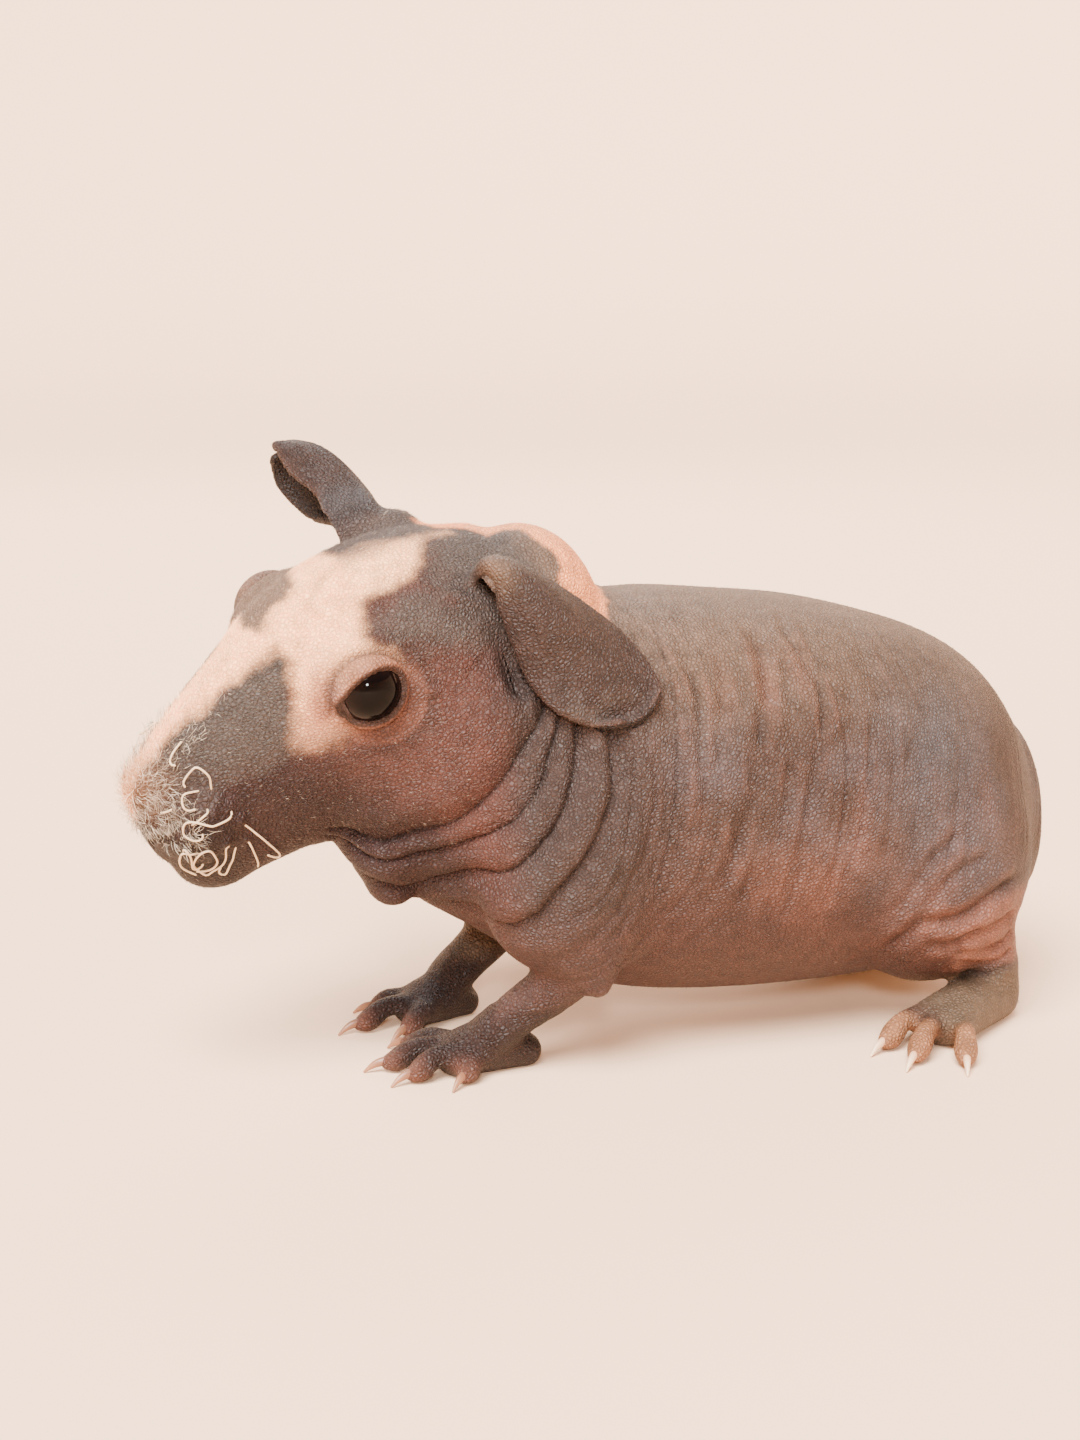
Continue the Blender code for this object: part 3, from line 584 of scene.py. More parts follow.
@dataclass
class Trunk:
    """The barrel of the body."""

    stations: tuple[tuple[float, ...], ...] = (
        (-30, 57, 28, 14), (-24, 62, 22.5, 18.5), (-14, 66, 15.5, 22.5), (-3, 67.8, 10, 24.5),
        (9, 68.2, 7.4, 26.2), (20, 67.2, 6.5, 27.2), (32, 65.8, 6.2, 27.8), (44.5, 62.8, 6.6, 27.0),
        (56, 58.6, 8, 24), (64.0, 52.4, 10, 19.5), (69.2, 45.4, 13.5, 14),
    )
    ends: tuple[float, float] = (5.0, 5.2)

    def pieces(self) -> list[tuple[np.ndarray, Faces]]:
        """Gives the barrel with its throat, nape, shoulders and thighs."""
        rows = np.array(
            [(x, top, low + 0.45 * (top - low), low, half) for x, top, low, half in self.stations]
        )
        made = [
            body_of_rings(loft(rows, self.ends, 1.2, 72, 2.15, 2.15)),
            ball((-34.2, -4.5, 34), (5.9, 9, 5.5)),
            ball((-33.3, -6, 28.8), (3.4, 4.6, 3.0)),
            ball((-13, -2.5, 62), (12.8, 12.5, 16.6)),
        ]
        for side in Side:
            made.append(ball((-9, -16 * side.value, 33), (15, 10, 19)))
            made.append(ball((48.6, -16 * side.value, 27), (17.2, 12, 19.5)))
        return made


@dataclass
class HeadAndNeck:
    """The skull, the neck and the soft masses of the face."""

    skull: tuple[tuple[float, ...], ...] = (
        (29.8, -2.4, -8.0, -17.0, 5.0), (26.5, 1.4, -9.0, -22.0, 7.0), (22.5, 3.8, -10.0, -24.2, 8.4),
        (17.0, 6.2, -10.0, -24.8, 9.9), (11.0, 8.5, -9.5, -25.4, 11.8), (5.0, 10.8, -9.0, -26.8, 14.0),
        (-1.0, 11.9, -8.5, -28.4, 15.8), (-8.0, 11.8, -8.5, -29.4, 17.2),
        (-15.0, 10.4, -8.5, -28.6, 17.6), (-22.0, 7.8, -8.5, -25.0, 16.6),
        (-29.0, 4.0, -8.5, -19.0, 13.5),
    )
    ends: tuple[float, float] = (5.0, 2.2)
    neck: tuple[tuple, ...] = (
        ((-37, -4, 57), 18, 14), ((-25, -2, 51), 23, 18.5), ((-11, 0, 45), 26, 21.5),
        ((4, 0, 41), 26, 22),
    )
    paired: tuple[tuple[Triple, Triple], ...] = (
        ((-9, 8.5, -15), (14, 10, 14)), ((-1.2, 8.1, 1.0), (8.8, 7.4, 7.5)),
        ((24.6, 4.6, -9.5), (6.2, 5.4, 6.6)),
    )
    single: tuple[tuple[Triple, Triple], ...] = (
        ((22.5, 0, -19), (7.5, 6.4, 6.2)), ((27.5, 0, -4.5), (4.6, 4.8, 5.4)),
        ((-21.0, -11, 1.2), (5.5, 4.2, 5.4)),
    )

    def pieces(self) -> list[tuple[np.ndarray, Faces]]:
        """Gives the skull, the neck, cheeks, brows, lip pads, chin and nose."""
        rows = np.array(self.skull[::-1], float)
        rings = loft(rows, self.ends, 1.0, 64, 1.8, 2.3)
        turned = HEAD.outside(rings.reshape(-1, 3)).reshape(rings.shape)
        made = [body_of_rings(turned), tube(list(self.neck), sides=60)]
        for side in Side:
            made += [ball(HEAD.spot(at, side), radii, HEAD.turn) for at, radii in self.paired]
        return made + [ball(HEAD.spot(at), radii, HEAD.turn) for at, radii in self.single]


@dataclass
class Leg:
    """One leg with its foot, as runs of centres and half sizes, and its toes as root and tip."""

    kind: Limb
    runs: tuple[tuple, ...]
    heel: Triple
    palm: Triple
    toes: tuple[tuple[Triple, Triple], ...]
    toe_radius: float = 1.6

    def pieces(self) -> list[tuple[np.ndarray, Faces]]:
        """Gives the leg's masses, its sole and its toes."""
        heel, palm = np.array(self.heel), np.array(self.palm)
        middle = (heel + palm) / 2
        made = [tube(list(run)) for run in self.runs]
        if self.kind is Limb.FORE:
            rows = [(heel, 2.6, 3.4), (middle + (0, 0, 1.0), 3.8, 4.4), (palm, 2.9, 5.0)]
            made.append(tube(rows))
        else:
            rows = [(heel, 3.6, 3.8), (middle + (0, 0, 0.5), 4.0, 4.6), (palm, 3.4, 5.4)]
            made.append(tube(rows, side=tuple(np.cross(palm - heel, (0, 0, 1)))))
        return made + [self.toe(*pair) for pair in self.toes]

    def toe(self, root: Triple, tip: Triple) -> tuple[np.ndarray, Faces]:
        """Gives one toe, arched at its knuckle, down to the pad.

        Args:
            root: Where it leaves the foot.
            tip: Where its pad ends.

        Returns:
            The points and the faces.
        """
        a, b, r = np.array(root), np.array(tip), self.toe_radius
        rows = [
            (a, r * 1.15, r * 1.15),
            (a + 0.45 * (b - a) + (0, 0, 0.9), r, r * 1.02),
            (a + 0.86 * (b - a) - (0, 0, 0.1), r * 1.08, r * 1.12),
            (b, r * 0.8, r * 0.85),
        ]
        return tube(rows, side=tuple(np.cross(b - a, (0, 0, 1))), grain=0.5, sides=24)


LEGS: dict[str, Leg] = {
    "foreleg_left": Leg(
        Limb.FORE,
        (
            (((-10, -15.5, 34), 12, 9), ((-9.3, -19, 23), 9.5, 6.5), ((-7.6, -20.2, 14.8), 2.8, 2.6)),
            (
                ((-6, -17.5, 20), 4.6, 4.2), ((-11.4, -15.4, 14.2), 4.1, 3.8),
                ((-16.8, -13, 9.6), 3.5, 3.6), ((-20.5, -11.3, 6.2), 3.3, 4.0),
            ),
        ),
        (-14.8, -9.6, 2.6), (-25.6, -9.6, 3.0),
        (
            ((-24.6, -5.6, 3.5), (-29.4, 0.6, 1.9)), ((-27.6, -8.0, 3.9), (-34.6, -6.2, 1.9)),
            ((-27.0, -11.4, 3.7), (-32.8, -12.2, 1.9)), ((-23.2, -13.0, 3.2), (-26.2, -15.6, 1.8)),
        ),
    ),
    "foreleg_right": Leg(
        Limb.FORE,
        (
            (((-10, 15.5, 34), 12, 9), ((-8.6, 19.5, 23), 9.5, 6.5), ((-6, 20.6, 14.4), 2.8, 2.6)),
            (
                ((-2, 18, 20), 4.8, 4.2), ((-8.2, 16, 14.4), 4.1, 3.8), ((-14.2, 14.8, 9.8), 3.6, 3.6),
                ((-18.2, 14.4, 6.2), 3.3, 4.0),
            ),
        ),
        (-15.4, 15.2, 2.6), (-24.0, 13.0, 3.0),
        (
            ((-22.8, 9.2, 3.5), (-27.4, 6.6, 1.9)), ((-26.2, 12.0, 3.9), (-33.2, 11.6, 1.9)),
            ((-25.0, 15.2, 3.7), (-28.8, 18.4, 1.9)), ((-20.8, 16.8, 3.2), (-22.6, 20.2, 1.8)),
        ),
    ),
    "hindleg_left": Leg(
        Limb.HIND,
        (
            (
                ((54.4, -17, 26), 9.6, 8), ((57.2, -16.8, 17), 6.2, 6.0),
                ((58.8, -17.0, 10.5), 5.0, 5.0), ((59.8, -17.4, 4.8), 4.5, 4.4),
            ),
        ),
        (60.6, -17.4, 3.6), (45.8, -25.4, 3.7),
        (
            ((42.6, -22.9, 4.0), (36.2, -25.6, 2.0)), ((43.2, -27.6, 4.3), (37.2, -32.4, 2.0)),
            ((47.0, -30.0, 4.0), (43.4, -36.4, 2.0)),
        ),
    ),
    "hindleg_right": Leg(
        Limb.HIND,
        (
            (
                ((54.4, 16, 26), 9.6, 8), ((57.2, 15, 17), 6.2, 6.0), ((58.8, 14.6, 10.5), 5.0, 5.0),
                ((60.0, 14.6, 4.8), 4.5, 4.4),
            ),
        ),
        (61.0, 14.4, 3.6), (46.4, 22.6, 3.7),
        (
            ((43.4, 20.2, 4.0), (37.0, 22.6, 2.0)), ((43.8, 24.8, 4.3), (38.0, 29.6, 2.0)),
            ((47.6, 27.2, 4.0), (44.2, 33.6, 2.0)),
        ),
    ),
}


@dataclass
class Ear:
    """One ear: a thin cupped petal that springs from the head and opens into a flap.

    Args:
        stations: From root to tip, the front edge, the middle of the back and the rear edge.
        thick: Thickness at the middle of the petal.
    """

    stations: tuple[tuple[Triple, Triple, Triple], ...]
    thick: float = 1.35
    rings: int = 60
    sides: int = 31

    def shell(self) -> tuple[np.ndarray, Faces]:
        """Gives the petal, its outer points before its inner ones in each ring."""
        edges = HEAD.outside(np.array(self.stations, float).reshape(-1, 3)).reshape(-1, 3, 3)
        spots = np.linspace(0, 1, len(edges))
        at = np.linspace(0, 1, self.rings)
        front, back, rear = (spline(spots, edges[:, k], at)[:, None, :] for k in range(3))
        u = np.linspace(-1, 1, self.sides)[None, :, None]
        outer = back + u * (rear - front) / 2 + u**2 * ((front + rear) / 2 - back)
        facing = np.cross(np.gradient(outer, axis=1), np.gradient(outer, axis=0))
        facing /= np.linalg.norm(facing, axis=2, keepdims=True)
        facing *= np.sign(np.sum(facing * (back - (front + rear) / 2)))
        thick = self.thick * (0.72 + 0.28 * (1 - u**2)) * (1 - 0.12 * at[:, None, None])
        inner = outer - facing * thick
        return body_of_rings(np.concatenate([outer, inner[:, ::-1]], axis=1))


EARS: dict[str, Ear] = {
    "ear_left": Ear(
        (
            ((-21.5, 9.0, 2.5), (-24.5, 8.5, 5.0), (-29.0, 8.5, -1.5)),
            ((-21.8, 13.5, 5.2), (-25.0, 14.8, 9.0), (-30.6, 13.2, 1.4)),
            ((-21.4, 18.0, -1.4), (-26.6, 21.0, 1.4), (-33.4, 17.4, -2.6)),
            ((-20.9, 20.8, -7.1), (-28.1, 23.6, -5.1), (-36.6, 20.7, -8.4)),
            ((-21.8, 25.2, -10.7), (-29.3, 26.6, -11.0), (-37.3, 25.4, -13.1)),
            ((-24.9, 27.4, -13.7), (-30.9, 28.1, -15.4), (-36.3, 27.9, -14.7)),
            ((-27.9, 29.3, -14.4), (-31.2, 28.9, -15.7), (-33.5, 29.1, -15.3)),
        )
    ),
    "ear_right": Ear(
        (
            ((-14.2, -8.6, 2.0), (-23.4, -9.0, 1.5), (-17.6, -12.4, -2.0)),
            ((-14.2, -13.2, 7.4), (-22.8, -13.8, 6.0), (-16.8, -18.6, 2.6)),
            ((-16.0, -19.0, 9.8), (-23.6, -19.0, 6.2), (-16.8, -26.0, 0.8)),
            ((-15.4, -24.0, 11.6), (-23.4, -25.0, 8.8), (-16.4, -32.0, 2.4)),
            ((-15.9, -27.0, 13.2), (-21.6, -29.2, 10.8), (-16.2, -34.0, 5.8)),
            ((-16.2, -29.6, 13.6), (-19.0, -31.2, 12.0), (-16.4, -33.2, 9.6)),
        )
    ),
}


@dataclass(frozen=True)
class NeckRolls:
    """Rolls of skin behind the cheek, between creases drawn round a point of the head's middle plane.

    Args:
        centre: That point, forward and up.
        aspect: How much taller than long the creases' rings are.
        creases: From the cheek outwards, each crease as angle in degrees and ring radius.
        heights: How high the roll after each crease stands.
        sinks: How deep each crease cuts.
        lean: Above 1 where a roll is fuller towards its outer crease.
    """

    centre: tuple[float, float] = (-5.0, 3.0)
    aspect: float = 1.3
    creases: tuple[tuple[tuple[float, float], ...], ...] = (
        ((-140, 19.7), (-127, 17.3), (-117, 16.2), (-107, 16.0), (-98, 16.4), (-90, 17.2),
         (-82, 18.5), (-74, 19.6), (-62, 22.8)),
        ((-138, 21.0), (-125, 19.5), (-115, 18.9), (-105, 18.7), (-97, 19.2), (-88, 20.1),
         (-81, 21.2), (-72, 22.7), (-64, 24.0)),
        ((-139, 23.0), (-130, 22.4), (-120, 21.3), (-110, 20.9), (-102, 21.0), (-96, 21.8),
         (-90, 22.9), (-84, 24.3), (-77, 27.4)),
        ((-142, 26.5), (-132, 26.3), (-125, 26.0), (-118, 25.0), (-110, 24.6), (-103, 24.7),
         (-96, 25.6), (-88, 27.8), (-77, 31.5)),
    )
    heights: tuple[float, ...] = (1.5, 1.7, 2.0)
    sinks: tuple[float, ...] = (1.5, 1.2, 1.2, 0.9)
    lean: tuple[float, ...] = (1.0, 1.0, 1.5)

    def chart(self, points: np.ndarray) -> tuple[np.ndarray, np.ndarray]:
        """Gives each point's ring radius and its angle in degrees."""
        local = HEAD.inside(points)
        along, up = local[:, 0] - self.centre[0], local[:, 2] - self.centre[1]
        return np.hypot(along, up / self.aspect), np.degrees(np.arctan2(up, along))

    def lift(self, points: np.ndarray) -> np.ndarray:
        """Gives how far the skin rises into rolls or sinks between them."""
        radius, angle = self.chart(points)
        radius = radius + 0.12 * mottle(points, 4, 11)
        at = [np.interp(angle, *np.array(crease).T) for crease in self.creases]
        before, after = at[0] - radius, radius - at[-1]
        lift = np.where(before > 0, 0.5 * bell(before - 3.6, 2.4) - self.sinks[0] * np.exp(-before / 1.2), 0)
        swell = 0.7 * bell(after - 3.4, 2.6) - self.sinks[-1] * np.exp(-after / 1.4)
        lift = np.where(after > 0, swell, lift)
        for k, height in enumerate(self.heights):
            t = (radius - at[k]) / (at[k + 1] - at[k])
            on = (t >= 0) & (t <= 1)
            t = np.clip(t, 0, 1)
            crest = height * np.sqrt(np.clip(1 - (2 * t ** self.lean[k] - 1) ** 2, 0, 1))
            floor = self.sinks[k] + (self.sinks[k + 1] - self.sinks[k]) * t
            lift = np.where(on, crest - floor, lift)
        zone = step(-156, -141, angle) * step(-52, -64, angle) * step(7, 13, radius)
        fine = mottle(np.stack([radius / 2.4, angle / 16, angle * 0], axis=1), 1, 12)
        finer = mottle(np.stack([radius / 1.1, angle / 9, angle * 0], axis=1), 1, 13)
        near = step(14, 18, radius) * (1 - step(40, 48, radius))
        near *= step(-172, -150, angle) * step(-50, -66, angle)
        worn = 0.1 * fine - 0.22 * bell(fine, 0.18) - 0.12 * bell(finer, 0.2)
        return (zone * lift + near * worn) * step(5, 9, points[:, 2])


@dataclass(frozen=True)
class Crease:
    """One crease seen from the side: its depth, its half width and its run of place and height."""

    depth: float
    width: float
    run: tuple[tuple[float, float], ...]


@dataclass(frozen=True)
class FlankCreases:
    """The creases over flank, thigh and ankle and the finer ones between them, alike on both sides."""

    creases: tuple[Crease, ...] = (
        Crease(0.25, 1.3, ((2.4, 54.5), (2.2, 50.2), (2.5, 47), (2.6, 42.1), (2.3, 37.1), (2.5, 29.9))),
        Crease(0.5, 0.9, ((5.6, 62.9), (7.0, 57.9), (6.9, 52.4), (6.0, 49.3), (6.1, 43.9),
            (6.2, 39.9), (5.6, 35))),
        Crease(0.3, 0.8, ((11.7, 60.7), (10.3, 54.1), (9.1, 50.5), (8.1, 46.7), (7.3, 42.5),
            (7.7, 37.5), (8.9, 33.8))),
        Crease(
            0.5,
            1.0,
            (
                (18.3, 65.8), (18.5, 61.3), (18.2, 58.5), (17.8, 55.5), (16.0, 51.9), (14.7, 48.2),
                (14.1, 44.6), (13.4, 41.4), (12.4, 37.8), (9.6, 30.7), (8.2, 26.4),
            ),
        ),
        Crease(0.35, 0.8, ((26.4, 65.7), (24.2, 62.7), (24.7, 60.6), (25.6, 57.6), (26.0, 54.7),
            (25.8, 51.3), (25.1, 48.8))),
        Crease(0.3, 0.8, ((19.7, 46.9), (18.9, 43.4), (18.0, 40.1), (17.2, 36.8), (16.7, 33.7),
            (15.7, 29.2))),
        Crease(0.2, 0.7, ((21.4, 59.6), (21.3, 57.1), (20.2, 53.2))),
        Crease(0.2, 1.0, ((35.0, 60.3), (34.8, 56.9), (35.2, 55.0), (35.8, 53.1), (35.5, 49.9))),
        Crease(0.4, 2.4, ((45.6, 57), (44.5, 51), (41.9, 48), (39.4, 41), (38.8, 35.9), (38.1, 31.4),
            (36.4, 23.8), (35.3, 20))),
        Crease(0.4, 0.9, ((47.1, 33.7), (44.8, 31.7), (42.2, 29.9), (40.1, 27.2), (38.6, 24.3),
            (37.7, 21.2))),
        Crease(0.45, 0.9, ((52.5, 29.2), (48.6, 28.2), (44.8, 26.1), (42.8, 23.6), (41.3, 21.4),
            (39.8, 18.7))),
        Crease(1.0, 1.0, ((59.6, 25.4), (53.4, 23.3), (49.3, 21.2), (45.6, 20.0), (42.0, 19.8),
            (40.1, 17.8), (37, 15))),
        Crease(0.75, 0.8, ((60.2, 19.6), (54.7, 17.9), (50.2, 17.1), (46.5, 15.9), (42.7, 16.5))),
        Crease(0.65, 0.7, ((60.6, 16.2), (56.4, 13.6), (51.7, 13.6), (47.7, 14.5))),
        Crease(0.6, 0.6, ((60.6, 13.1), (57.5, 11.0), (53.8, 11.2), (48.4, 12.6))),
        Crease(0.5, 0.6, ((60.2, 10.7), (56.9, 9.1), (53.0, 9.0))),
    )

    def lift(self, points: np.ndarray) -> np.ndarray:
        """Gives how far the skin rises or sinks for the creases."""
        x, y, z = points.T
        lift = np.zeros(len(points))
        flat = points[:, [0, 2]] + np.stack([0.35 * mottle(points, 5, 20), 0 * x], axis=1)
        outer = step(6, 13, np.abs(y))
        for crease in self.creases:
            run = np.array(crease.run)
            reach = 4 * crease.width + 2
            low, high = run.min(axis=0) - reach, run.max(axis=0) + reach
            near = np.nonzero(np.all((flat > low) & (flat < high), axis=1) & (outer > 0))[0]
            away, along = near_run(flat[near], run)
            taper = step(0, 0.12, along) * step(1, 0.88, along) * (0.8 + 0.3 * mottle(points[near], 7, 22))
            shape = 0.55 * bell(away - 2.3 * crease.width, 1.3 * crease.width) - bell(away, crease.width)
            lift[near] += outer[near] * taper * crease.depth * shape
        bow = 0.0022 * (z - 57) ** 2 * (1 + 1.2 * (z < 57)) + 0.7 * mottle(points, (30, 30, 11), 21)
        side = step(8, 15, np.abs(y)) * step(18, 32, z) * (1 - 0.55 * step(60, 68, z))
        along = x + bow
        folds = mottle(np.stack([along / 3.2, z / 26, y / 34], axis=1), 1, 23)
        lines = mottle(np.stack([along / 1.5, z / 15, y / 20], axis=1), 1, 24)
        fine = 0.2 * folds - 0.3 * bell(folds, 0.16) - 0.17 * bell(lines, 0.2)
        rear = 1 - 0.55 * step(30, 55, x)
        return lift + step(-14, 0, x) * side * rear * fine


@dataclass(frozen=True)
class LimbWrinkles:
    """Fine wrinkles over elbow, wrist and ankle."""

    def lift(self, points: np.ndarray) -> np.ndarray:
        """Gives how far the skin rises or sinks for them."""
        x, y, z = points.T
        ankle = step(24, 18, z) * step(7, 10, z) * step(46, 52, x)
        rings = mottle(np.stack([(z + 0.35 * x) / 1.5, x / 7, y / 7], axis=1), 1, 31)
        lift = 0.3 * ankle * rings
        arm = step(33, 27, z) * step(12, 16, z) * step(2, -6, x) * step(12, 16, np.abs(y))
        lift += 0.16 * arm * mottle(np.stack([(x + 0.8 * z) / 1.6, z / 9, y / 9], axis=1), 1, 32)
        wrist = step(16, 13, z) * step(5.5, 8, z) * step(0, -6, x)
        lift += 0.13 * wrist * mottle(np.stack([(x - 0.6 * z) / 1.0, z / 6, y / 6], axis=1), 1, 33)
        return lift


@dataclass(frozen=True)
class EarRelief:
    """The thick rims of the ears and the fine lines along them."""

    rims: tuple[float, float] = (0.5, 0.25)
    lines: float = 0.13

    def lift(self, root: np.ndarray, across: np.ndarray, inner: np.ndarray) -> np.ndarray:
        """Gives how far the skin of an ear rises or sinks.

        Args:
            root: The place from root to tip.
            across: The place from the front edge to the rear one, from -1 to 1.
            inner: 1 on the inner side.

        Returns:
            The rise.
        """
        rim = self.rims[0] * bell(across + 0.92, 0.22) + self.rims[1] * bell(across - 0.94, 0.18)
        wander = across + 0.1 * mottle(np.stack([root / 0.2, across / 0.5, inner], axis=1), 1, 63)
        lines = mottle(np.stack([wander / 0.13, root / 0.5, inner], axis=1), 1, 61)
        ripples = mottle(np.stack([across / 0.5, root / 0.05, inner], axis=1), 1, 62)
        wrinkled = lines + 0.6 * ripples * step(0.55, 0.9, root)
        return (1 - inner) * rim * step(0.14, 0.3, root) + self.lines * wrinkled


@dataclass(frozen=True)
class FaceLines:
    """Nostrils, the split of the lip and the line of the mouth, in the head's axes."""

    nostril: tuple[Triple, ...] = ((31.2, 1.4, -5.6), (30.8, 2.6, -4.4), (29.6, 3.8, -3.0))
    mouth: tuple[Triple, ...] = ((31.4, 0, -12.5), (31.3, 3.2, -9.0), (30.6, 4.8, -7.9),
        (29.6, 6.0, -6.8), (28.6, 7.0, -6.0))
    split: tuple[Triple, ...] = ((33, 0, -5.5), (32.5, 0, -8.5), (31.5, 0, -12.3))

    def depth(self, points: np.ndarray) -> np.ndarray:
        """Gives how far the skin sinks at each line."""
        local = HEAD.inside(points)
        near = np.nonzero(local[:, 0] > 16)[0]
        part = local[near]
        part[:, 1] = np.abs(part[:, 1])
        sink = 1.3 * bell(from_line(part, list(self.nostril)), 0.85)
        sink = np.maximum(sink, 1.25 * bell(from_line(part, list(self.mouth)), 0.8))
        sink = np.maximum(sink, 0.7 * bell(from_line(part, list(self.split)), 0.7))
        out = np.zeros(len(points))
        out[near] = sink
        return out


@dataclass(frozen=True)
class Lids:
    """The lids over the eyeball, with the fold above and the one below them.

    The chart runs along the eyeball, in millimetres: forward along the slit and upward.

    Args:
        tilt: How far the slit's front end dips, in degrees.
        back: Reach of the gap behind the middle.
        front: Reach of the gap with its corner before the middle.
        seen: Where the eyeball ends and the wet corner starts.
        height: Half height of the gap.
        thick: How far the lid stands off the eyeball.
        folds: Distance of the fold above and of the one below.
    """

    tilt: float = 7.0
    back: float = 4.9
    front: float = 6.2
    seen: float = 4.7
    height: float = 3.6
    thick: float = 0.75
    folds: tuple[float, float] = (6.9, 6.2)

    def chart(self, points: np.ndarray, side: Side) -> tuple[np.ndarray, ...]:
        """Gives the offset from the eyeball and the lids' own measures.

        Args:
            points: One row for each point of the layout.
            side: Which eye.

        Returns:
            The offset in the left eye's axes, the chart's two measures, and how many gaps away it lies.
        """
        local = HEAD.inside(points) * np.array([1, side.value, 1])
        offset = (local - np.array(EYE.at)) @ EYE.axes().T
        planar = np.maximum(np.hypot(offset[:, 0], offset[:, 1]), 1e-6)
        reach = np.linalg.norm(offset, axis=1)
        arc = EYE.radius * np.arctan2(planar, offset[:, 2]) + np.maximum(reach - EYE.radius - 2.6, 0)
        far = (offset[:, 2] < -3) | (reach > 15)
        a, b = (offset[:, :2] / planar[:, None] * np.where(far, 99.0, arc)[:, None]).T
        turn = radians(self.tilt)
        a, b = a * cos(turn) - b * sin(turn), a * sin(turn) + b * cos(turn)
        power = np.where(a > 0, 1.7, 2.0)
        size = np.where(a > 0, self.front, self.back)
        out = ((np.abs(a) / size) ** power + (np.abs(b) / self.height) ** power) ** (1 / power)
        return offset, np.stack([a, b], axis=1), out

    def laid(self, points: np.ndarray, side: Side) -> np.ndarray:
        """Lays the skin over one eyeball and opens the gap.

        Args:
            points: One row for each point of the layout.
            side: Which eye.

        Returns:
            The moved points.
        """
        offset, chart, out = self.chart(points, side)
        distance = np.linalg.norm(chart, axis=1)
        upper = step(-1.5, 1.5, chart[:, 1])
        rim = np.sqrt(np.clip((out - 0.98) / 0.2, 0, 1))
        over = EYE.radius + 0.05 + self.thick * rim
        above, below = (distance - fold for fold in self.folds)
        deep = 0.45 * bell(above, 0.38) * upper + 0.3 * bell(below, 0.4) * (1 - upper)
        inside = EYE.radius - 0.9 + 1.05 * step(self.seen - 0.25, self.seen + 0.25, chart[:, 0])
        wrapped = np.where(out < 0.98, inside, over)
        corner = (1 - step(1.1, 1.3, out)) * (1 - step(6.6, 7.9, distance))
        blend = np.maximum(1 - step(5.5, 8.3, distance), corner)
        reach = np.maximum(np.linalg.norm(offset, axis=1), 1e-6)
        target = offset / reach[:, None] * wrapped[:, None]
        moved = offset + blend[:, None] * (target - offset)
        moved -= offset / reach[:, None] * deep[:, None]
        local = (moved @ EYE.axes() + np.array(EYE.at)) * np.array([1, side.value, 1])
        return HEAD.outside(local)


@dataclass(frozen=True)
class FaceBumps:
    """Warts on the cheek, whisker mounds on the lip, and the hollow before the left ear."""

    warts: tuple[tuple[Triple, float, float], ...] = (
        ((-8.9, 16.5, -2.8), 0.8, 0.55), ((-7.3, 16.4, -1.4), 0.6, 0.4),
        ((-4.9, 21.7, -14.9), 0.6, 0.35), ((24.4, 6.7, -3.3), 0.75, 0.4),
        ((23.3, 7.6, -4.3), 0.75, 0.45), ((22.3, 8.2, -5.3), 0.8, 0.5), ((21.4, 8.7, -6.8), 0.85, 0.5),
        ((20.9, 9.2, -9.6), 0.9, 0.55), ((20.9, 8.8, -13.3), 0.85, 0.45),
        ((23.9, 9.4, -11.3), 0.85, 0.5), ((26.5, 9.3, -9.8), 0.8, 0.45),
        ((27.1, 8.9, -7.7), 0.8, 0.45), ((25.4, 8.4, -5.6), 0.75, 0.4), ((23.7, 8.8, -6.1), 0.75, 0.4),
    )
    hollow: tuple[Triple, ...] = ((-22.4, 14.6, 4.8), (-22.2, 16.4, 0.5), (-21.4, 17.6, -3.5),
        (-19.6, 19.6, -7.4))

    def lift(self, points: np.ndarray) -> np.ndarray:
        """Gives how far the skin rises or sinks for them."""
        local = HEAD.inside(points)
        lift = np.zeros(len(points))
        near = np.nonzero((local[:, 0] > -32) & (local[:, 2] > -30))[0]
        part = local[near]
        some = np.zeros(len(near))
        for side in Side:
            sided = part * np.array([1, side.value, 1])
            for at, width, rise in self.warts:
                some += rise * bell(np.linalg.norm(sided - np.array(at), axis=1), width)
            if side is Side.LEFT:
                away = from_line(sided, list(self.hollow))
                some -= 1.9 * bell(away, 2.2)
                turn = np.degrees(np.arctan2(sided[:, 2] + 1.2, sided[:, 0] + 24.6))
                streak = mottle(np.stack([turn / 8, away / 4, away * 0], axis=1), 1, 41)
                some += 0.3 * streak * step(1.5, 3, away) * step(11, 5, away) * step(-24, -20, sided[:, 0])
        lift[near] = some
        return lift


def srgb(red: float, green: float, blue: float) -> np.ndarray:
    """Turns a display colour, 0 to 255, into a linear one."""
    value = np.array([red, green, blue]) / 255
    return np.where(value <= 0.04045, value / 12.92, ((value + 0.055) / 1.055) ** 2.4)


@dataclass(frozen=True)
class Tones:
    """The named tones of the skin, as display colours."""

    umber: Triple = (60, 43, 36)
    mauve: Triple = (72, 59, 57)
    bistre_and_shade: Triple = (54, 41, 37)
    olive_and_sheen: Triple = (106, 84, 68)
    cheek: Triple = (76, 46, 39)
    jowl: Triple = (46, 28, 25)
    slate: Triple = (70, 60, 55)
    peach: Triple = (255, 190, 138)
    rose: Triple = (140, 84, 72)
    apricot: Triple = (228, 143, 92)
    russet: Triple = (65, 38, 31)
    ember_and_ridge_light: Triple = (122, 78, 63)
    soot_and_shade: Triple = (34, 22, 19)
    lid_front: Triple = (90, 70, 68)
    lid_back: Triple = (124, 78, 61)
    lid_low: Triple = (118, 76, 62)
    brow: Triple = (58, 36, 30)
    ear: Triple = (48, 34, 30)
    ear_inside: Triple = (27, 20, 19)
    steel_and_sheen: Triple = (60, 56, 57)
    toe: Triple = (142, 95, 64)
    hock_and_arm_light: Triple = (86, 68, 52)


TONES = Tones()


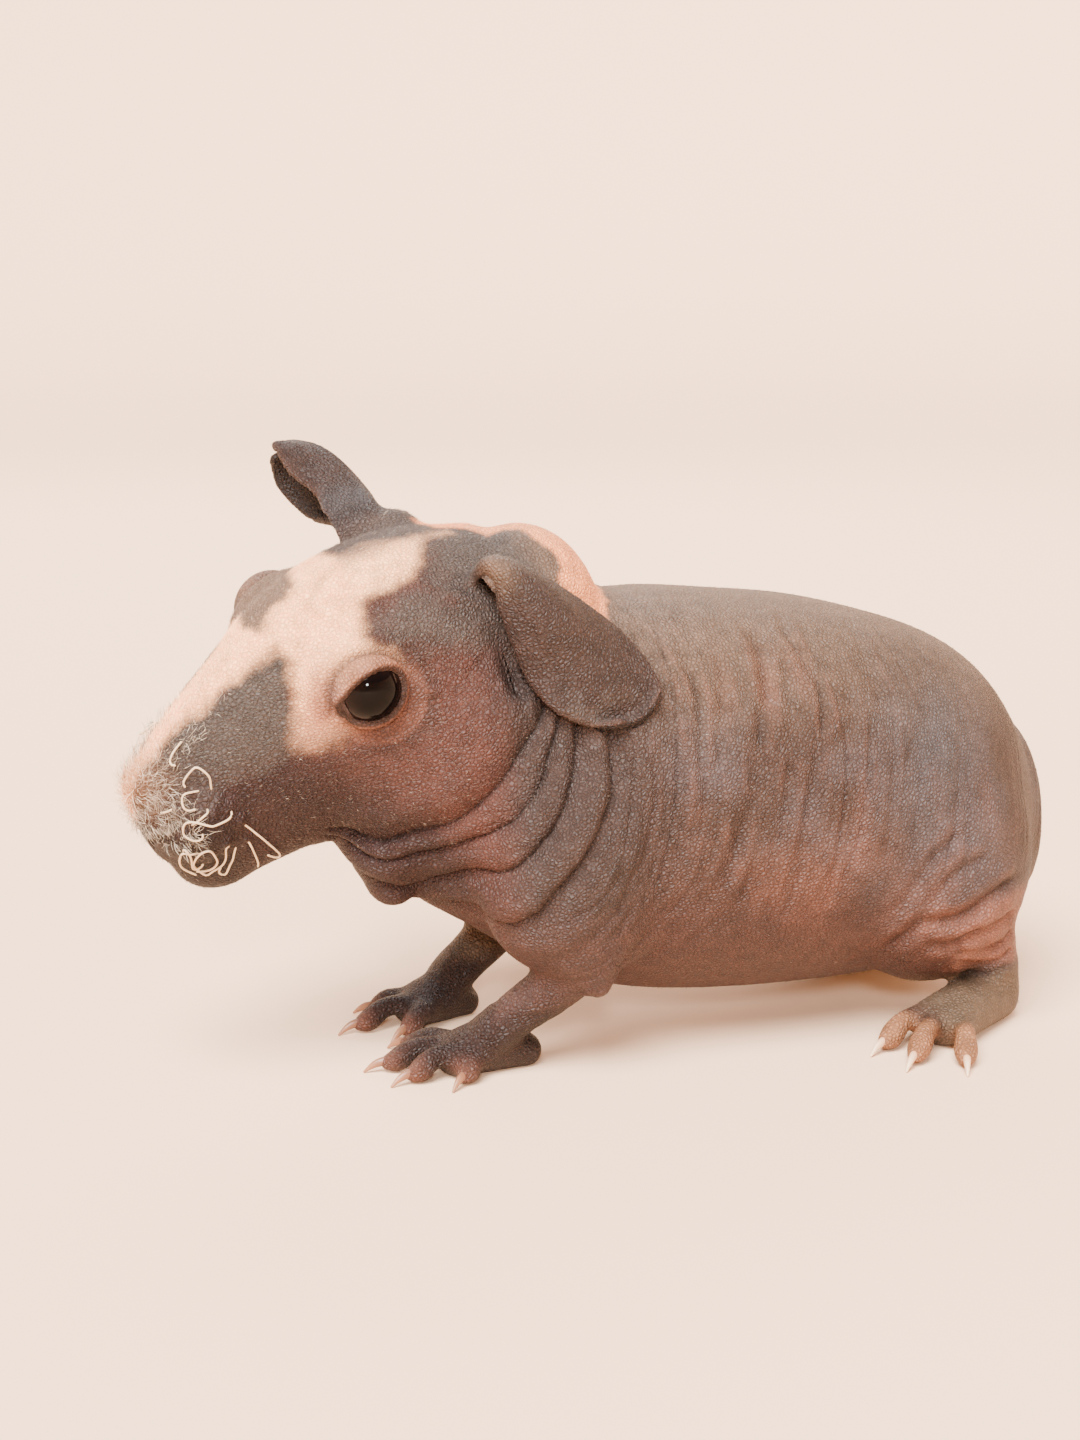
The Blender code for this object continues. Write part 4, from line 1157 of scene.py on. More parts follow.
@dataclass(frozen=True)
class Markings:
    """Where each tone lies, in charts of the head and of the nape.

    The head's chart is the place along it and the angle round it from the top, in degrees.
    """

    blaze: tuple[tuple[float, float], ...] = (
        (33, 12), (29, 9), (22, 8), (18.4, 11), (14, 11.5), (10.3, 13), (5.8, 15.6), (5.1, 22),
        (7.6, 34), (8.5, 46), (8.6, 55), (7.6, 60), (5.0, 62), (2.5, 60), (0, 56), (-3, 52),
        (-5.2, 48), (-5.5, 45), (-4.2, 34), (-7, 22.5), (-10, 23), (-14.9, 23), (-18, 16.3),
        (-20.5, 5), (-26, 2), (-26, -6), (-18.3, -2), (-13.2, -5), (-9.1, -3), (-8.1, -14), (-9, -40),
        (-10, -70), (-2, -82), (6, -74), (8.5, -50), (7.5, -30), (11, -16), (20, -13), (33, -12),
    )
    far_patch: tuple[tuple[float, float], ...] = (
        (-1.7, -6), (0.7, 0.5), (3.6, 4), (6.4, 5), (7.2, -2), (6.6, -11), (6.0, -24), (5.5, -60),
        (-8, -60), (-7, -34), (-4, -22),
    )
    muzzle_patch: tuple[tuple[float, float], ...] = (
        (33, 9), (22, 8), (14, 11), (5.8, 15.6), (5.1, 22), (7.6, 34), (8.5, 46), (9.5, 60), (15, 66),
        (21, 60), (25, 72), (33, 70),
    )
    temple_patch: tuple[tuple[float, float], ...] = (
        (-4.2, 34), (-7, 22.5), (-10, 23), (-14.9, 23), (-18, 16.3), (-20, 5), (-24, 0.5), (-31, -1),
        (-36, 12), (-36, 56), (-24, 70), (-15, 58), (-9.5, 50), (-7.2, 42),
    )
    nape: tuple[tuple[float, float], ...] = (
        (-26, 4), (-26, -3.2), (-20, -3.6), (-14, -5.5), (-11, -10), (-9, -16), (-4.8, -19),
        (-2.2, -12), (-0.8, -5), (-0.8, 2), (-3, 10), (-8, 16), (-15, 14), (-21, 9),
    )

    def head_chart(self, points: np.ndarray) -> np.ndarray:
        """Gives the place along the head and the angle round it, scaled to be alike."""
        f, left, up = HEAD.inside(points).T
        return np.stack([f, np.degrees(np.arctan2(left, up + 9)) * 0.25], axis=1)

    def share(self, chart: np.ndarray, outline: tuple[tuple[float, float], ...]) -> np.ndarray:
        """Gives how far chart points are inside an outline of the head."""
        return inside_by(chart, [(a, b * 0.25) for a, b in outline])

    def tones(self, points: np.ndarray, cavity: np.ndarray, ear: np.ndarray, inner: np.ndarray) -> np.ndarray:
        """Mixes the skin's colour.

        Args:
            points: One row for each point of the layout.
            cavity: Above 0 in a hollow, below 0 on a ridge, in millimetres.
            ear: 1 on the ears.
            inner: 1 on their inner side.

        Returns:
            Linear colours.
        """
        x, y, z = points.T
        f, left, up = HEAD.inside(points).T
        broad = 0.6 * mottle(points, 14, 51) + 0.4 * mottle(points, 6, 52)
        small = mottle(points, 2.2, 53)
        hair = mottle(points, 0.9, 54)
        ragged = 0.45 * small + 0.35 * hair + 0.8 * mottle(points, 4.2, 61)

        def mix(now: np.ndarray, tone: Triple, share: np.ndarray) -> np.ndarray:
            return now + np.clip(share, 0, 1)[:, None] * (srgb(*tone) - now)

        colour = np.tile(srgb(*TONES.umber), (len(points), 1))
        colour = mix(colour, TONES.mauve, step(-0.3, 0.5, broad))
        top = step(44, 64, z + 4 * broad) * step(-24, -12, x)
        colour = mix(colour, TONES.olive_and_sheen, 0.75 * top)
        # darker bistre over shoulder, chest and neck: partly their own tone, partly painted shade under the
        # head
        colour = mix(colour, TONES.bistre_and_shade, 0.9 * step(10, -8, x + 3 * broad) * step(68, 52, z))
        colour = mix(colour, TONES.cheek, step(-30, -14, f) * step(-18, -24, x))
        colour = mix(colour, TONES.jowl, step(6, 18, f - 0.7 * up) * step(-18, -26, x) * step(-6, 0, f))
        low = step(36, 15, z + 6 * broad) * step(-10, 4, x) * step(58, 50, x)
        colour = mix(colour, TONES.russet, 0.75 * low)
        under = step(30, 20, z) * step(4, -8, x)
        colour = mix(colour, TONES.cheek, 0.4 * under)
        colour = self.bands(colour, points, mix)

        chart = self.head_chart(points)
        on_head = step(-34, -28, f) * step(-26, -18, up) * (np.abs(left) < 26)
        lower = step(30, 58, np.abs(chart[:, 1]) * 4)
        soft = 1.2 + 2.4 * lower
        blaze = step(-1, 1, (self.share(chart, self.blaze) + ragged) / soft) * on_head
        warm = blaze * (0.05 + 0.85 * lower + 0.2 * step(0, 0.7, broad))
        muzzle = step(-1, 1, (self.share(chart, self.muzzle_patch) + ragged) / 0.9) * on_head
        muzzle *= step(-10, 2, up + 1.5 * small)
        right = chart * (1, -1)
        far_muzzle = step(-1, 1, (self.share(right, self.muzzle_patch) - 0.6 + ragged) / 0.9) * on_head
        colour = mix(colour, TONES.slate, far_muzzle * step(-10, 2, up))
        colour = mix(colour, TONES.slate, muzzle)
        brow = self.brow_share(points)
        colour = mix(colour, TONES.brow, 0.8 * brow)
        colour = mix(colour, TONES.peach, blaze)
        colour = mix(colour, TONES.rose, warm * 0.7)
        far = step(-1, 1, (self.share(chart, self.far_patch) + ragged) / 0.8) * on_head
        temple = step(-1, 1, (self.share(chart, self.temple_patch) + 0.8 * broad + 1.2 * ragged) / 1.8)
        band, _ = near_run(chart, np.array([(-12.5, 4.6), (-15, 6.8), (-18, 9.8)]))
        temple *= step(-34, -30, f) * step(-16, -6, up) * (1 - 0.3 * step(0.1, 0.8, mottle(points, 5, 55)))
        temple *= 1 - 0.6 * bell(band, 1.2) * step(-0.6, 0.4, small)
        far_ear = step(2.5, -1.5, left + 0.8 * broad) * step(-7, -10, f) * step(-34, -30, f) * step(-6, 2, up)
        colour = mix(colour, TONES.slate, np.maximum(np.maximum(0.9 * far, 0.85 * temple), 0.75 * far_ear))
        streak = bell(from_line(HEAD.inside(points), [(-5, 1.5, 11.8), (0, 4.4, 11.3)]), 0.6)
        colour = mix(colour, TONES.slate, 0.3 * streak)
        nape = step(-1, 1, (inside_by(points[:, :2], list(self.nape)) + ragged) / 0.7) * step(60, 63, z)
        colour = mix(colour, TONES.apricot, nape * (1 - ear))
        nose = bell(np.linalg.norm((HEAD.inside(points) - (29.5, 0, -2)) / (4, 5, 4.5), axis=1), 1)
        colour = mix(colour, TONES.toe, 0.7 * nose)
        pad = bell(np.linalg.norm((HEAD.inside(points) - (24, 7, -12)) / (5, 6, 5), axis=1), 1)
        colour = mix(colour, TONES.jowl, 0.7 * pad)
        lips = step(20, 25, f) * step(-5, -9, up + small) * (x < -48)
        colour = mix(colour, TONES.soot_and_shade, 0.8 * lips)

        hollow = from_line(HEAD.inside(points), list(FaceBumps().hollow))
        # painted shade: the hollow before the near ear is darkened towards soot
        hollow_shade = np.maximum(0.97 * bell(hollow, 3.0), 0.5 * bell(hollow, 6.5))
        colour = mix(colour, TONES.soot_and_shade, hollow_shade * (1 - ear))
        colour = mix(colour, TONES.ear, 0.94 * ear)
        tip = step(58, 52, z + 3 * small) * ear * (y < 0)
        colour = mix(colour, TONES.slate, 0.55 * tip)
        colour = mix(colour, TONES.ear_inside, 0.8 * ear * inner)
        # painted sheen: a lighter olive patch on the near ear's rounded knob
        knob_sheen = bell(np.linalg.norm((HEAD.inside(points) - (-23.4, 14.8, 8.2)) / (2.6, 3.4, 3.4), axis=1), 1)
        colour = mix(colour, TONES.olive_and_sheen, 0.75 * knob_sheen * (y < 0))
        stem = ear * (y > 0) * step(-20, -16, -np.abs(left)) * (1 - inner)
        colour = mix(colour, TONES.steel_and_sheen, 0.6 * stem)
        return self.feet(self.lids(colour, points, mix), points, cavity, small, mix)

    def bands(self, colour: np.ndarray, points: np.ndarray, mix: Mixer) -> np.ndarray:
        """Lays the rosy bands of the flank, the painted grey sheen of the thigh and the reddish folds of the
        ankle.

        Args:
            colour: The colours so far.
            points: One row for each point of the layout.
            mix: Blends a tone in.

        Returns:
            The colours with them.
        """
        x, y, z = points.T
        flank = step(10, 17, np.abs(y)) * step(14, 24, z) * step(66, 54, z)
        rows = mottle(np.stack([x / 3.2, z / 16, y / 30], axis=1), 1, 57)
        patchy = mottle(points, (9, 12, 13), 58)
        rosy = step(0.0, 0.6, 0.7 * rows + 0.6 * patchy) * flank * bell((x - 31) / 19, 1)
        colour = mix(colour, TONES.ember_and_ridge_light, 0.62 * rosy)
        warm = bell(np.linalg.norm((points - (31, -26, 26)) / (17, 14, 9), axis=1), 1)
        colour = mix(colour, TONES.ember_and_ridge_light, 0.4 * warm * step(-0.4, 0.5, patchy))
        both = np.stack([x, -np.abs(y), z], axis=1)
        # painted sheen: a grey reflection painted over each thigh
        sheen = bell(np.linalg.norm((both - (44, -25, 44)) / (8, 12, 15), axis=1), 1)
        colour = mix(colour, TONES.steel_and_sheen, 0.6 * sheen)
        dark = bell(np.linalg.norm((both - (48, -26, 28)) / (9, 12, 7), axis=1), 1)
        colour = mix(colour, TONES.mauve, 0.6 * dark)
        folds = [(61, -25, 22), (55, -27, 20.5), (48, -27, 17.5), (41, -25, 15)]
        fold = bell(from_line(both, folds), 3.8) * step(24.5, 21.5, z) * step(40, 52, x)
        line = bell(from_line(both, [(50, -28, 21.5), (43, -27, 19.5), (36, -24, 14.5)]), 1.2)
        ankle = step(22.5, 19, z) * step(9.5, 12, z) * step(46, 51, x)
        return mix(colour, TONES.ember_and_ridge_light, np.maximum(np.maximum(0.8 * fold, 0.55 * line), 0.85 * ankle))

    def brow_share(self, points: np.ndarray) -> np.ndarray:
        """Gives the reddish brown that surrounds each eye and runs back from it."""
        share = np.zeros(len(points))
        for side in Side:
            _, chart, _ = Lids().chart(points, side)
            away = np.linalg.norm(chart, axis=1)
            behind = bell(np.linalg.norm((chart - (-8.5, 1.5)) / (5.5, 5.0), axis=1), 1)
            halo = step(10.5, 7, away) * (1 - 0.6 * step(0, 5, chart[:, 0]))
            seen = 1.0 if side is Side.LEFT else 0.25
            share = np.maximum(share, seen * np.maximum(halo, behind))
        return share

    def lids(self, colour: np.ndarray, points: np.ndarray, mix: Mixer) -> np.ndarray:
        """Lays the tones of both lids, with the dark rim and front corner.

        Args:
            colour: The colours so far.
            points: One row for each point of the layout.
            mix: Blends a tone in.

        Returns:
            The colours with them.
        """
        for side in Side:
            _, chart, out = Lids().chart(points, side)
            a, b = chart.T
            away = np.hypot(a, b)
            ahead = step(1, 6, a)
            upper = step(-1.2, 0.8, b)
            ring = step(7.6, 6.4, away) * (1.0 if side is Side.LEFT else 0.35)
            colour = mix(colour, TONES.rose, 0.55 * step(10, 7.5, away) * upper * ahead * (side is Side.LEFT))
            colour = mix(colour, TONES.lid_low, 0.75 * ring * (1 - upper))
            colour = mix(colour, TONES.lid_back, 0.8 * ring * upper * (1 - ahead))
            colour = mix(colour, TONES.lid_front, 0.75 * ring * upper * ahead)
            # painted shade: the sunken folds above and below the lids are darkened with the brow tone
            groove = bell(away - 6.9, 0.45) * upper + bell(away - 6.2, 0.45) * (1 - upper)
            colour = mix(colour, TONES.brow, 0.6 * groove * (out > 1.15))
            colour = mix(colour, TONES.soot_and_shade, 0.9 * step(1.17, 1.07, out))
            corner = bell(np.linalg.norm((chart - (5.9, -0.3)) / (1.0, 0.7), axis=1), 1)
            colour = mix(colour, TONES.soot_and_shade, 0.85 * corner)
        return colour

    def feet(
        self, colour: np.ndarray, points: np.ndarray, cavity: np.ndarray, small: np.ndarray, mix: Mixer
    ) -> np.ndarray:
        """Lays the tones of the feet, paints shade into the hollows of the skin and paints light onto its
        ridges.

        Args:
            colour: The colours so far.
            points: One row for each point of the layout.
            cavity: Above 0 in a hollow, below 0 on a ridge.
            small: A fine random field.
            mix: Blends a tone in.

        Returns:
            The colours with them.
        """
        x, _, z = points.T
        fore = step(1, -3, x) * step(13, 8, z + small)
        # painted light: the far foreleg's upper part, in the body's shade, is lightened with the hock tone
        arm = step(1, -3, x) * step(8, 11, z + small) * step(28, 20, z) * step(2, 6, points[:, 1])
        colour = mix(colour, TONES.hock_and_arm_light, 0.8 * arm)
        colour = mix(colour, TONES.soot_and_shade, 0.9 * fore)
        toe = np.zeros(len(points))
        near = np.nonzero(z < 9)[0]
        for leg in LEGS.values():
            for root, tip in leg.toes:
                a, b = np.array(root), np.array(tip)
                t = np.clip((points[near] - a) @ (b - a) / ((b - a) @ (b - a)), 0, 1)
                away = np.linalg.norm(points[near] - a - t[:, None] * (b - a), axis=1)
                reach = step(0.2, 0.9, t) if leg.kind is Limb.FORE else step(0.0, 0.4, t)
                toe[near] = np.maximum(toe[near], reach * step(3.4, 2.2, away))
        hind = step(40, 46, x) * step(11, 7.5, z + small)
        colour = mix(colour, TONES.hock_and_arm_light, 0.9 * hind)
        fore_toe = toe * (x < 10)
        colour = mix(colour, TONES.russet, 0.45 * fore_toe * step(-0.4, 0.6, small))
        tips = np.zeros(len(points))
        for name in ("foreleg_left", "foreleg_right"):
            for _, tip in LEGS[name].toes:
                tips = np.maximum(tips, bell(np.linalg.norm(points - np.array(tip), axis=1), 2.2))
        colour = mix(colour, TONES.ember_and_ridge_light, 0.6 * tips)
        colour = mix(colour, TONES.toe, 0.85 * toe * (x > 10))
        face = step(-40, -20, HEAD.inside(points)[:, 0])
        # painted shade: hollows and creases of the skin are darkened towards soot
        shade = step(0.02, 0.3, cavity)
        # painted light: ridges of the skin are lightened towards ember, less on the face and not on the feet
        ridge = step(-0.02, -0.2, cavity) * (1 - 0.7 * face) * step(8, 14, z)
        colour = mix(colour, TONES.soot_and_shade, 0.6 * shade)
        return mix(colour, TONES.ember_and_ridge_light, 0.26 * ridge)


@dataclass
class Skin:
    """The whole skin with the ears, in one piece.

    Args:
        place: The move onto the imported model.
        melt: Grid that the body is melted on.
        grain: Grid of the finished skin.
    """

    place: Place
    melt: float = 0.5
    grain: float = 0.42
    soft_joins: tuple[tuple[Triple, float], ...] = (
        ((-22, -2, 50), 34), ((-9, -18, 24), 15), ((-9, 18, 24), 15), ((52, -20, 24), 26),
        ((52, 20, 24), 26),
    )
    surface: Surface = field(init=False)
    tone: np.ndarray = field(init=False)
    ear: np.ndarray = field(init=False)

    def softened(self) -> Surface:
        """Melts the masses and blends their joins, leaving feet and face crisp."""
        pieces = Trunk().pieces() + HeadAndNeck().pieces()
        for leg in LEGS.values():
            pieces += leg.pieces()
        body = Surface(*fused(pieces, self.melt))
        weight = np.zeros(len(body.points))
        for centre, radius in self.soft_joins:
            away = np.linalg.norm(body.points - np.array(centre), axis=1)
            weight = np.maximum(weight, 1 - step(0.55 * radius, radius, away))
        weight = np.maximum(weight, 0.5 * step(-26, 30, HEAD.inside(body.points)[:, 0]))
        weight *= step(8.5, 15, body.points[:, 2])
        body.points = body.relax(0.5 * weight, 70)
        body.points = body.relax(0.5, 6)
        return body

    def ear_fields(
        self, points: np.ndarray, shells: list[tuple[np.ndarray, Faces]]
    ) -> tuple[np.ndarray, ...]:
        """Finds the ears on the skin.

        Args:
            points: The skin's points.
            shells: The ears' petals.

        Returns:
            1 on the ears, the place from root to tip, from the front edge to the rear one, and
            1 on the inner side.
        """
        many = sum(len(s[0]) for s in shells)
        tree = KDTree(many)
        known = np.zeros((many, 3))
        start = 0
        for (shell, _), ear in zip(shells, EARS.values()):
            ring = 2 * ear.sides
            for i, point in enumerate(shell):
                across = i % ring
                inner = across >= ear.sides
                across = 2 * ear.sides - 1 - across if inner else across
                known[start + i] = i // ring / (ear.rings - 1), 2 * across / (ear.sides - 1) - 1, inner
                tree.insert(point, start + i)
            start += len(shell)
        tree.balance()
        away = np.full(len(points), 9.0)
        found = np.zeros((len(points), 3))
        local = HEAD.inside(points)
        near = (local[:, 0] < -8) & (local[:, 0] > -46) & (np.abs(local[:, 1]) > 6) & (local[:, 2] > -24)
        for i in np.nonzero(near)[0]:
            hits = tree.find_n(points[i], 3)
            weight = np.array([1 / (h[2] + 0.05) for h in hits])
            away[i] = hits[0][2]
            found[i] = weight @ known[[h[1] for h in hits]] / weight.sum()
        root, across, inner = found.T
        return step(0.75, 0.45, away) * step(0.12, 0.26, root), root, across, inner

    def work(self) -> None:
        """Shapes the skin and mixes its colours."""
        body = self.softened()
        shells = [ear.shell() for ear in EARS.values()]
        skin = Surface(*fused([(body.points, body.faces), *shells], self.grain))
        LOG.info("melted skin: %d points", len(skin.points))
        on, root, _, _ = self.ear_fields(skin.points, shells)
        joins = step(0.34, 0.2, root) * (root > 0)
        skin.points = skin.relax(np.maximum(0.35, 0.5 * joins), 3)
        skin.points = skin.relax(0.5 * joins, 14)
        local = HEAD.inside(skin.points)
        eyes = [np.linalg.norm(local - np.array(EYE.at) * (1, s.value, 1), axis=1) for s in Side]
        radius, angle = NeckRolls().chart(skin.points)
        rolls = (radius > 13) & (radius < 31) & (angle > -158) & (angle < -50) & (skin.points[:, 2] > 16)
        fine = (np.minimum(*eyes) < 11.5) | (local[:, 0] > 17) | rolls | (on > 0.3)
        skin = skin.refined(fine)
        self.ear, root, across, inner = self.ear_fields(skin.points, shells)
        body_share = 1 - self.ear
        skin.raised(body_share * (NeckRolls().lift(skin.points) + FlankCreases().lift(skin.points)))
        skin.raised(body_share * (LimbWrinkles().lift(skin.points) + FaceBumps().lift(skin.points)))
        skin.raised(-FaceLines().depth(skin.points))
        skin.raised(self.ear * EarRelief().lift(root, across, inner))
        for side in Side:
            skin.points = Lids().laid(skin.points, side)
        around = np.zeros(len(skin.points))
        for side in Side:
            _, chart, _ = Lids().chart(skin.points, side)
            around = np.maximum(around, 0.4 * step(10, 8.5, np.linalg.norm(chart, axis=1)))
        skin.points = skin.relax(around, 2)
        skin.points[:, 2] = np.maximum(skin.points[:, 2], SOLE)
        smooth = skin.relax(0.5, 10)
        cavity = np.sum((smooth - skin.points) * skin.normals(), axis=1)
        self.surface = skin
        self.tone = Markings().tones(skin.points, cavity, self.ear, inner)

    def build(self) -> bpy.types.Object:
        """Makes the skin's object, which replaces every flesh node."""
        self.work()
        skin = object_from("skin", self.place.metres(self.surface.points), self.surface.faces)
        paint(skin, self.tone)
        skin.data.shade_smooth()
        skin.data.materials.append(SkinFinish().material())
        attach(skin, "root")
        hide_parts("head", "neck", "torso", *LEGS, *EARS)
        LOG.info("skin: %d faces", len(self.surface.faces))
        return skin


def paint(piece: bpy.types.Object, colours: np.ndarray) -> None:
    """Stores a colour at each point of a piece, as its tone."""
    layer = piece.data.attributes.new("tone", "FLOAT_COLOR", "POINT")
    layer.data.foreach_set("color", np.hstack([colours, np.ones((len(colours), 1))]).ravel())


@dataclass(frozen=True)
class CoatZone:
    """One stretch of fuzz.

    Args:
        name: The piece's name.
        many: How many hairs.
        length: Shortest and longest hair.
        width: Half width at the root.
        rise: How steeply a hair leaves the skin, in degrees.
        curl: How far its tip turns aside, as a share of its length.
        pale: How far its tone goes towards cream.
        bends: How many lengths a hair is made of.
    """

    name: str
    many: int
    length: tuple[float, float]
    width: float
    rise: float
    curl: float
    pale: float
    bends: int = 2


@dataclass
class Coat:
    """All the fuzz, in pieces that each have an unwrap of the skin's own shape."""

    skin: Skin
    place: Place
    patch: float = 0.003
    zones: tuple[CoatZone, ...] = (
        CoatZone("fuzz_fore", 18000, (0.35, 0.8), 0.022, 14, 0.3, 0.014),
        CoatZone("fuzz_rear", 16000, (0.35, 0.8), 0.022, 14, 0.3, 0.014),
        CoatZone("fuzz_face_left", 19500, (0.45, 1.0), 0.021, 22, 0.9, 0.022),
        CoatZone("fuzz_face_right", 15000, (0.45, 1.0), 0.021, 22, 0.9, 0.022),
        CoatZone("fuzz_crown", 15000, (0.45, 1.0), 0.021, 22, 0.8, 0.022),
        CoatZone("fuzz_muzzle", 3000, (0.9, 3.0), 0.025, 42, 0.55, 0.3, 4),
        CoatZone("fuzz_ears", 7000, (0.3, 0.6), 0.021, 18, 0.3, 0.01),
        CoatZone("fuzz_feet", 7000, (0.3, 0.7), 0.024, 22, 0.3, 0.02),
    )

    def share(self, zone: CoatZone, at: np.ndarray, ear: np.ndarray) -> np.ndarray:
        """Gives how thickly a zone's hairs stand at each face.

        Args:
            zone: The zone.
            at: The middle of each face.
            ear: 1 on the ears.

        Returns:
            A weight for each face.
        """
        f, left, up = HEAD.inside(at).T
        x, _, z = at.T
        head = step(-32, -27, f) * step(-25, -19, up) * (1 - ear)
        feet = step(13, 10, z) * (1 - head)
        body = (1 - head) * (1 - feet) * (1 - ear) * (0.7 + 0.3 * step(20, 50, z))
        clear = step(3.5, 6, from_line(HEAD.inside(at), list(FaceBumps().hollow)))
        for side in Side:
            clear *= step(6.4, 8.0, np.linalg.norm(Lids().chart(at, side)[1], axis=1))
        tip = step(25, 29, f) * step(-10.5, -7, up)
        bridge = step(13, 22, f) * step(5.5, 3, np.abs(left)) * (up > -3)
        bare = step(14, 18, f) * step(-1, -4, up) * step(29, 26, f)
        head *= clear * (0.4 + 0.6 * step(-12, 2, up)) * (1 - 0.7 * bare)
        regions = {
            "fuzz_fore": body * (x < 20),
            "fuzz_rear": body * (x >= 20),
            "fuzz_face_left": head * (f > -8) * (left > 0),
            "fuzz_face_right": head * (f > -8) * (left <= 0),
            "fuzz_crown": head * (f <= -8),
            "fuzz_muzzle": np.maximum(tip, 0.5 * bridge),
            "fuzz_ears": ear,
            "fuzz_feet": feet * (1 - ear) * (z > SOLE + 0.8) * (0.35 + 0.65 * (x > 20)),
        }
        return regions[zone.name]

    def lie(
        self, at: np.ndarray, normal: np.ndarray, ear: np.ndarray, rng: np.random.Generator
    ) -> np.ndarray:
        """Gives the way each hair lies along the skin.

        Args:
            at: The roots.
            normal: The skin's normals there.
            ear: 1 on the ears.
            rng: The seeded source of chance.

        Returns:
            Unit vectors along the skin.
        """
        x, y, z = at.T
        back = np.array(HEAD.turn @ Vector((-1, 0, -0.12)))
        head = step(-24, -14, HEAD.inside(at)[:, 0])[:, None]
        body = np.tile([1.0, 0, -0.45], (len(at), 1))
        feet = step(16, 8, z)[:, None]
        flow = body + head * (back - body)
        flow = flow + feet * (np.array([-0.8, 0, -0.5]) - flow)
        out = np.stack([x * 0 + 0.6, np.sign(y) * 0.6, x * 0 - 0.8], axis=1)
        flow = flow + ear[:, None] * (out - flow)
        flow = flow + rng.normal(0, 0.45, flow.shape)
        flow -= normal * np.sum(flow * normal, axis=1, keepdims=True)
        return flow / np.maximum(np.linalg.norm(flow, axis=1, keepdims=True), 1e-6)

    def unwrap(self, at: np.ndarray, normal: np.ndarray) -> np.ndarray:
        """Lays roots out on six charts of the skin, one for each way that it faces.

        Args:
            at: The roots.
            normal: The skin's normals there.

        Returns:
            Two columns from 0 to 1.
        """
        axis = np.argmax(np.abs(normal), axis=1)
        sign = (np.take_along_axis(normal, axis[:, None], axis=1)[:, 0] > 0).astype(int)
        low, high = at.min(axis=0), at.max(axis=0)
        unit = (at - low) / (high - low)
        rows = np.arange(len(at))
        across, upward = unit[rows, (axis + 1) % 3], unit[rows, (axis + 2) % 3]
        return np.stack([(axis + 0.02 + 0.96 * across) / 3, (sign + 0.02 + 0.96 * upward) / 2], axis=1)

    def grow(self, zone: CoatZone, seed: int) -> bpy.types.Object:
        """Grows one zone as solid tapered hairs.

        Args:
            zone: The zone.
            seed: Its seed.

        Returns:
            The piece.
        """
        rng = np.random.default_rng(seed)
        surface = self.skin.surface
        quads, points = surface.quads, surface.points
        middle = points[quads].mean(axis=1)
        ear = self.skin.ear[quads].mean(axis=1)
        normals = surface.normals()
        one, other = (points[quads[:, k + 2]] - points[quads[:, k]] for k in (0, 1))
        area = np.linalg.norm(np.cross(one, other), axis=1)
        weight = area * np.maximum(self.share(zone, middle, ear), 0)
        pick = rng.choice(len(quads), zone.many, p=weight / weight.sum())
        mixing = rng.dirichlet((1, 1, 1, 1), zone.many)
        corner = quads[pick]
        root = np.einsum("nk,nkc->nc", mixing, points[corner])
        normal = normals[corner].mean(axis=1)
        normal /= np.linalg.norm(normal, axis=1, keepdims=True)
        tone = self.skin.tone[corner].mean(axis=1)
        lie = self.lie(root, normal, ear[pick], rng)
        aside = np.cross(normal, lie)
        rise = np.radians(np.clip(rng.normal(zone.rise, 9, zone.many), 4, 80))[:, None]
        length = rng.uniform(*zone.length, zone.many)[:, None]
        if zone.name == "fuzz_muzzle":
            length *= step(12, 27, HEAD.inside(root)[:, 0])[:, None] * 0.6 + 0.4
        ahead = lie * np.cos(rise) + normal * np.sin(rise)
        turn = rng.normal(0, zone.curl, zone.many)[:, None]
        high = np.cross(ahead, aside)
        joints = [root - normal * 0.06]
        way = ahead
        for _ in range(zone.bends):
            joints.append(joints[-1] + way * length / zone.bends)
            way = way + (aside * turn - normal * np.sin(rise) * 0.4) * 2 / zone.bends
            way /= np.linalg.norm(way, axis=1, keepdims=True)
        rings = []
        for j, centre in enumerate(joints[:-1]):
            width = zone.width * (1 - 0.5 * j / zone.bends)
            for k in range(3):
                angle = 2 * pi * k / 3 + pi / 2
                rings.append(centre + width * (aside * cos(angle) + high * sin(angle)))
        rings.append(joints[-1])
        cloud = np.stack(rings, axis=1)
        size = len(rings)
        base = (size * np.arange(zone.many))[:, None]
        last = size - 4
        shape = [(0, 2, 1)] + [(last + k, last + (k + 1) % 3, last + 3) for k in range(3)]
        for j in range(0, last, 3):
            for k in range(3):
                a, b = j + k, j + (k + 1) % 3
                shape += [(a, b, b + 3), (a, b + 3, a + 3)]
        triangles = np.concatenate([base + np.array(t) for t in shape])
        piece = mesh_piece(zone.name, self.place.metres(cloud.reshape(-1, 3)), triangles)
        cream = srgb(250, 232, 205)
        share = np.clip(zone.pale * np.exp(rng.normal(0, 1.2, zone.many)), 0, 1)[:, None]
        paint(piece, np.repeat(1.35 * tone + share * (cream - tone), size, axis=0))
        local = np.array([((k % 3) / 2, k // 3 / zone.bends) for k in range(size)])
        spread = self.unwrap(root, normal)[:, None, :] + (local - 0.5) * self.patch
        layer = piece.data.uv_layers.new(name="OFBake")
        layer.data.foreach_set("uv", spread.reshape(-1, 2)[triangles.ravel()].ravel())
        piece.data.materials.append(FuzzFinish().material())
        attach(piece, "root")
        LOG.info("%s: %d hairs", zone.name, zone.many)
        return piece

    def build(self) -> None:
        """Grows every zone."""
        for i, zone in enumerate(self.zones):
            self.grow(zone, 100 + i)


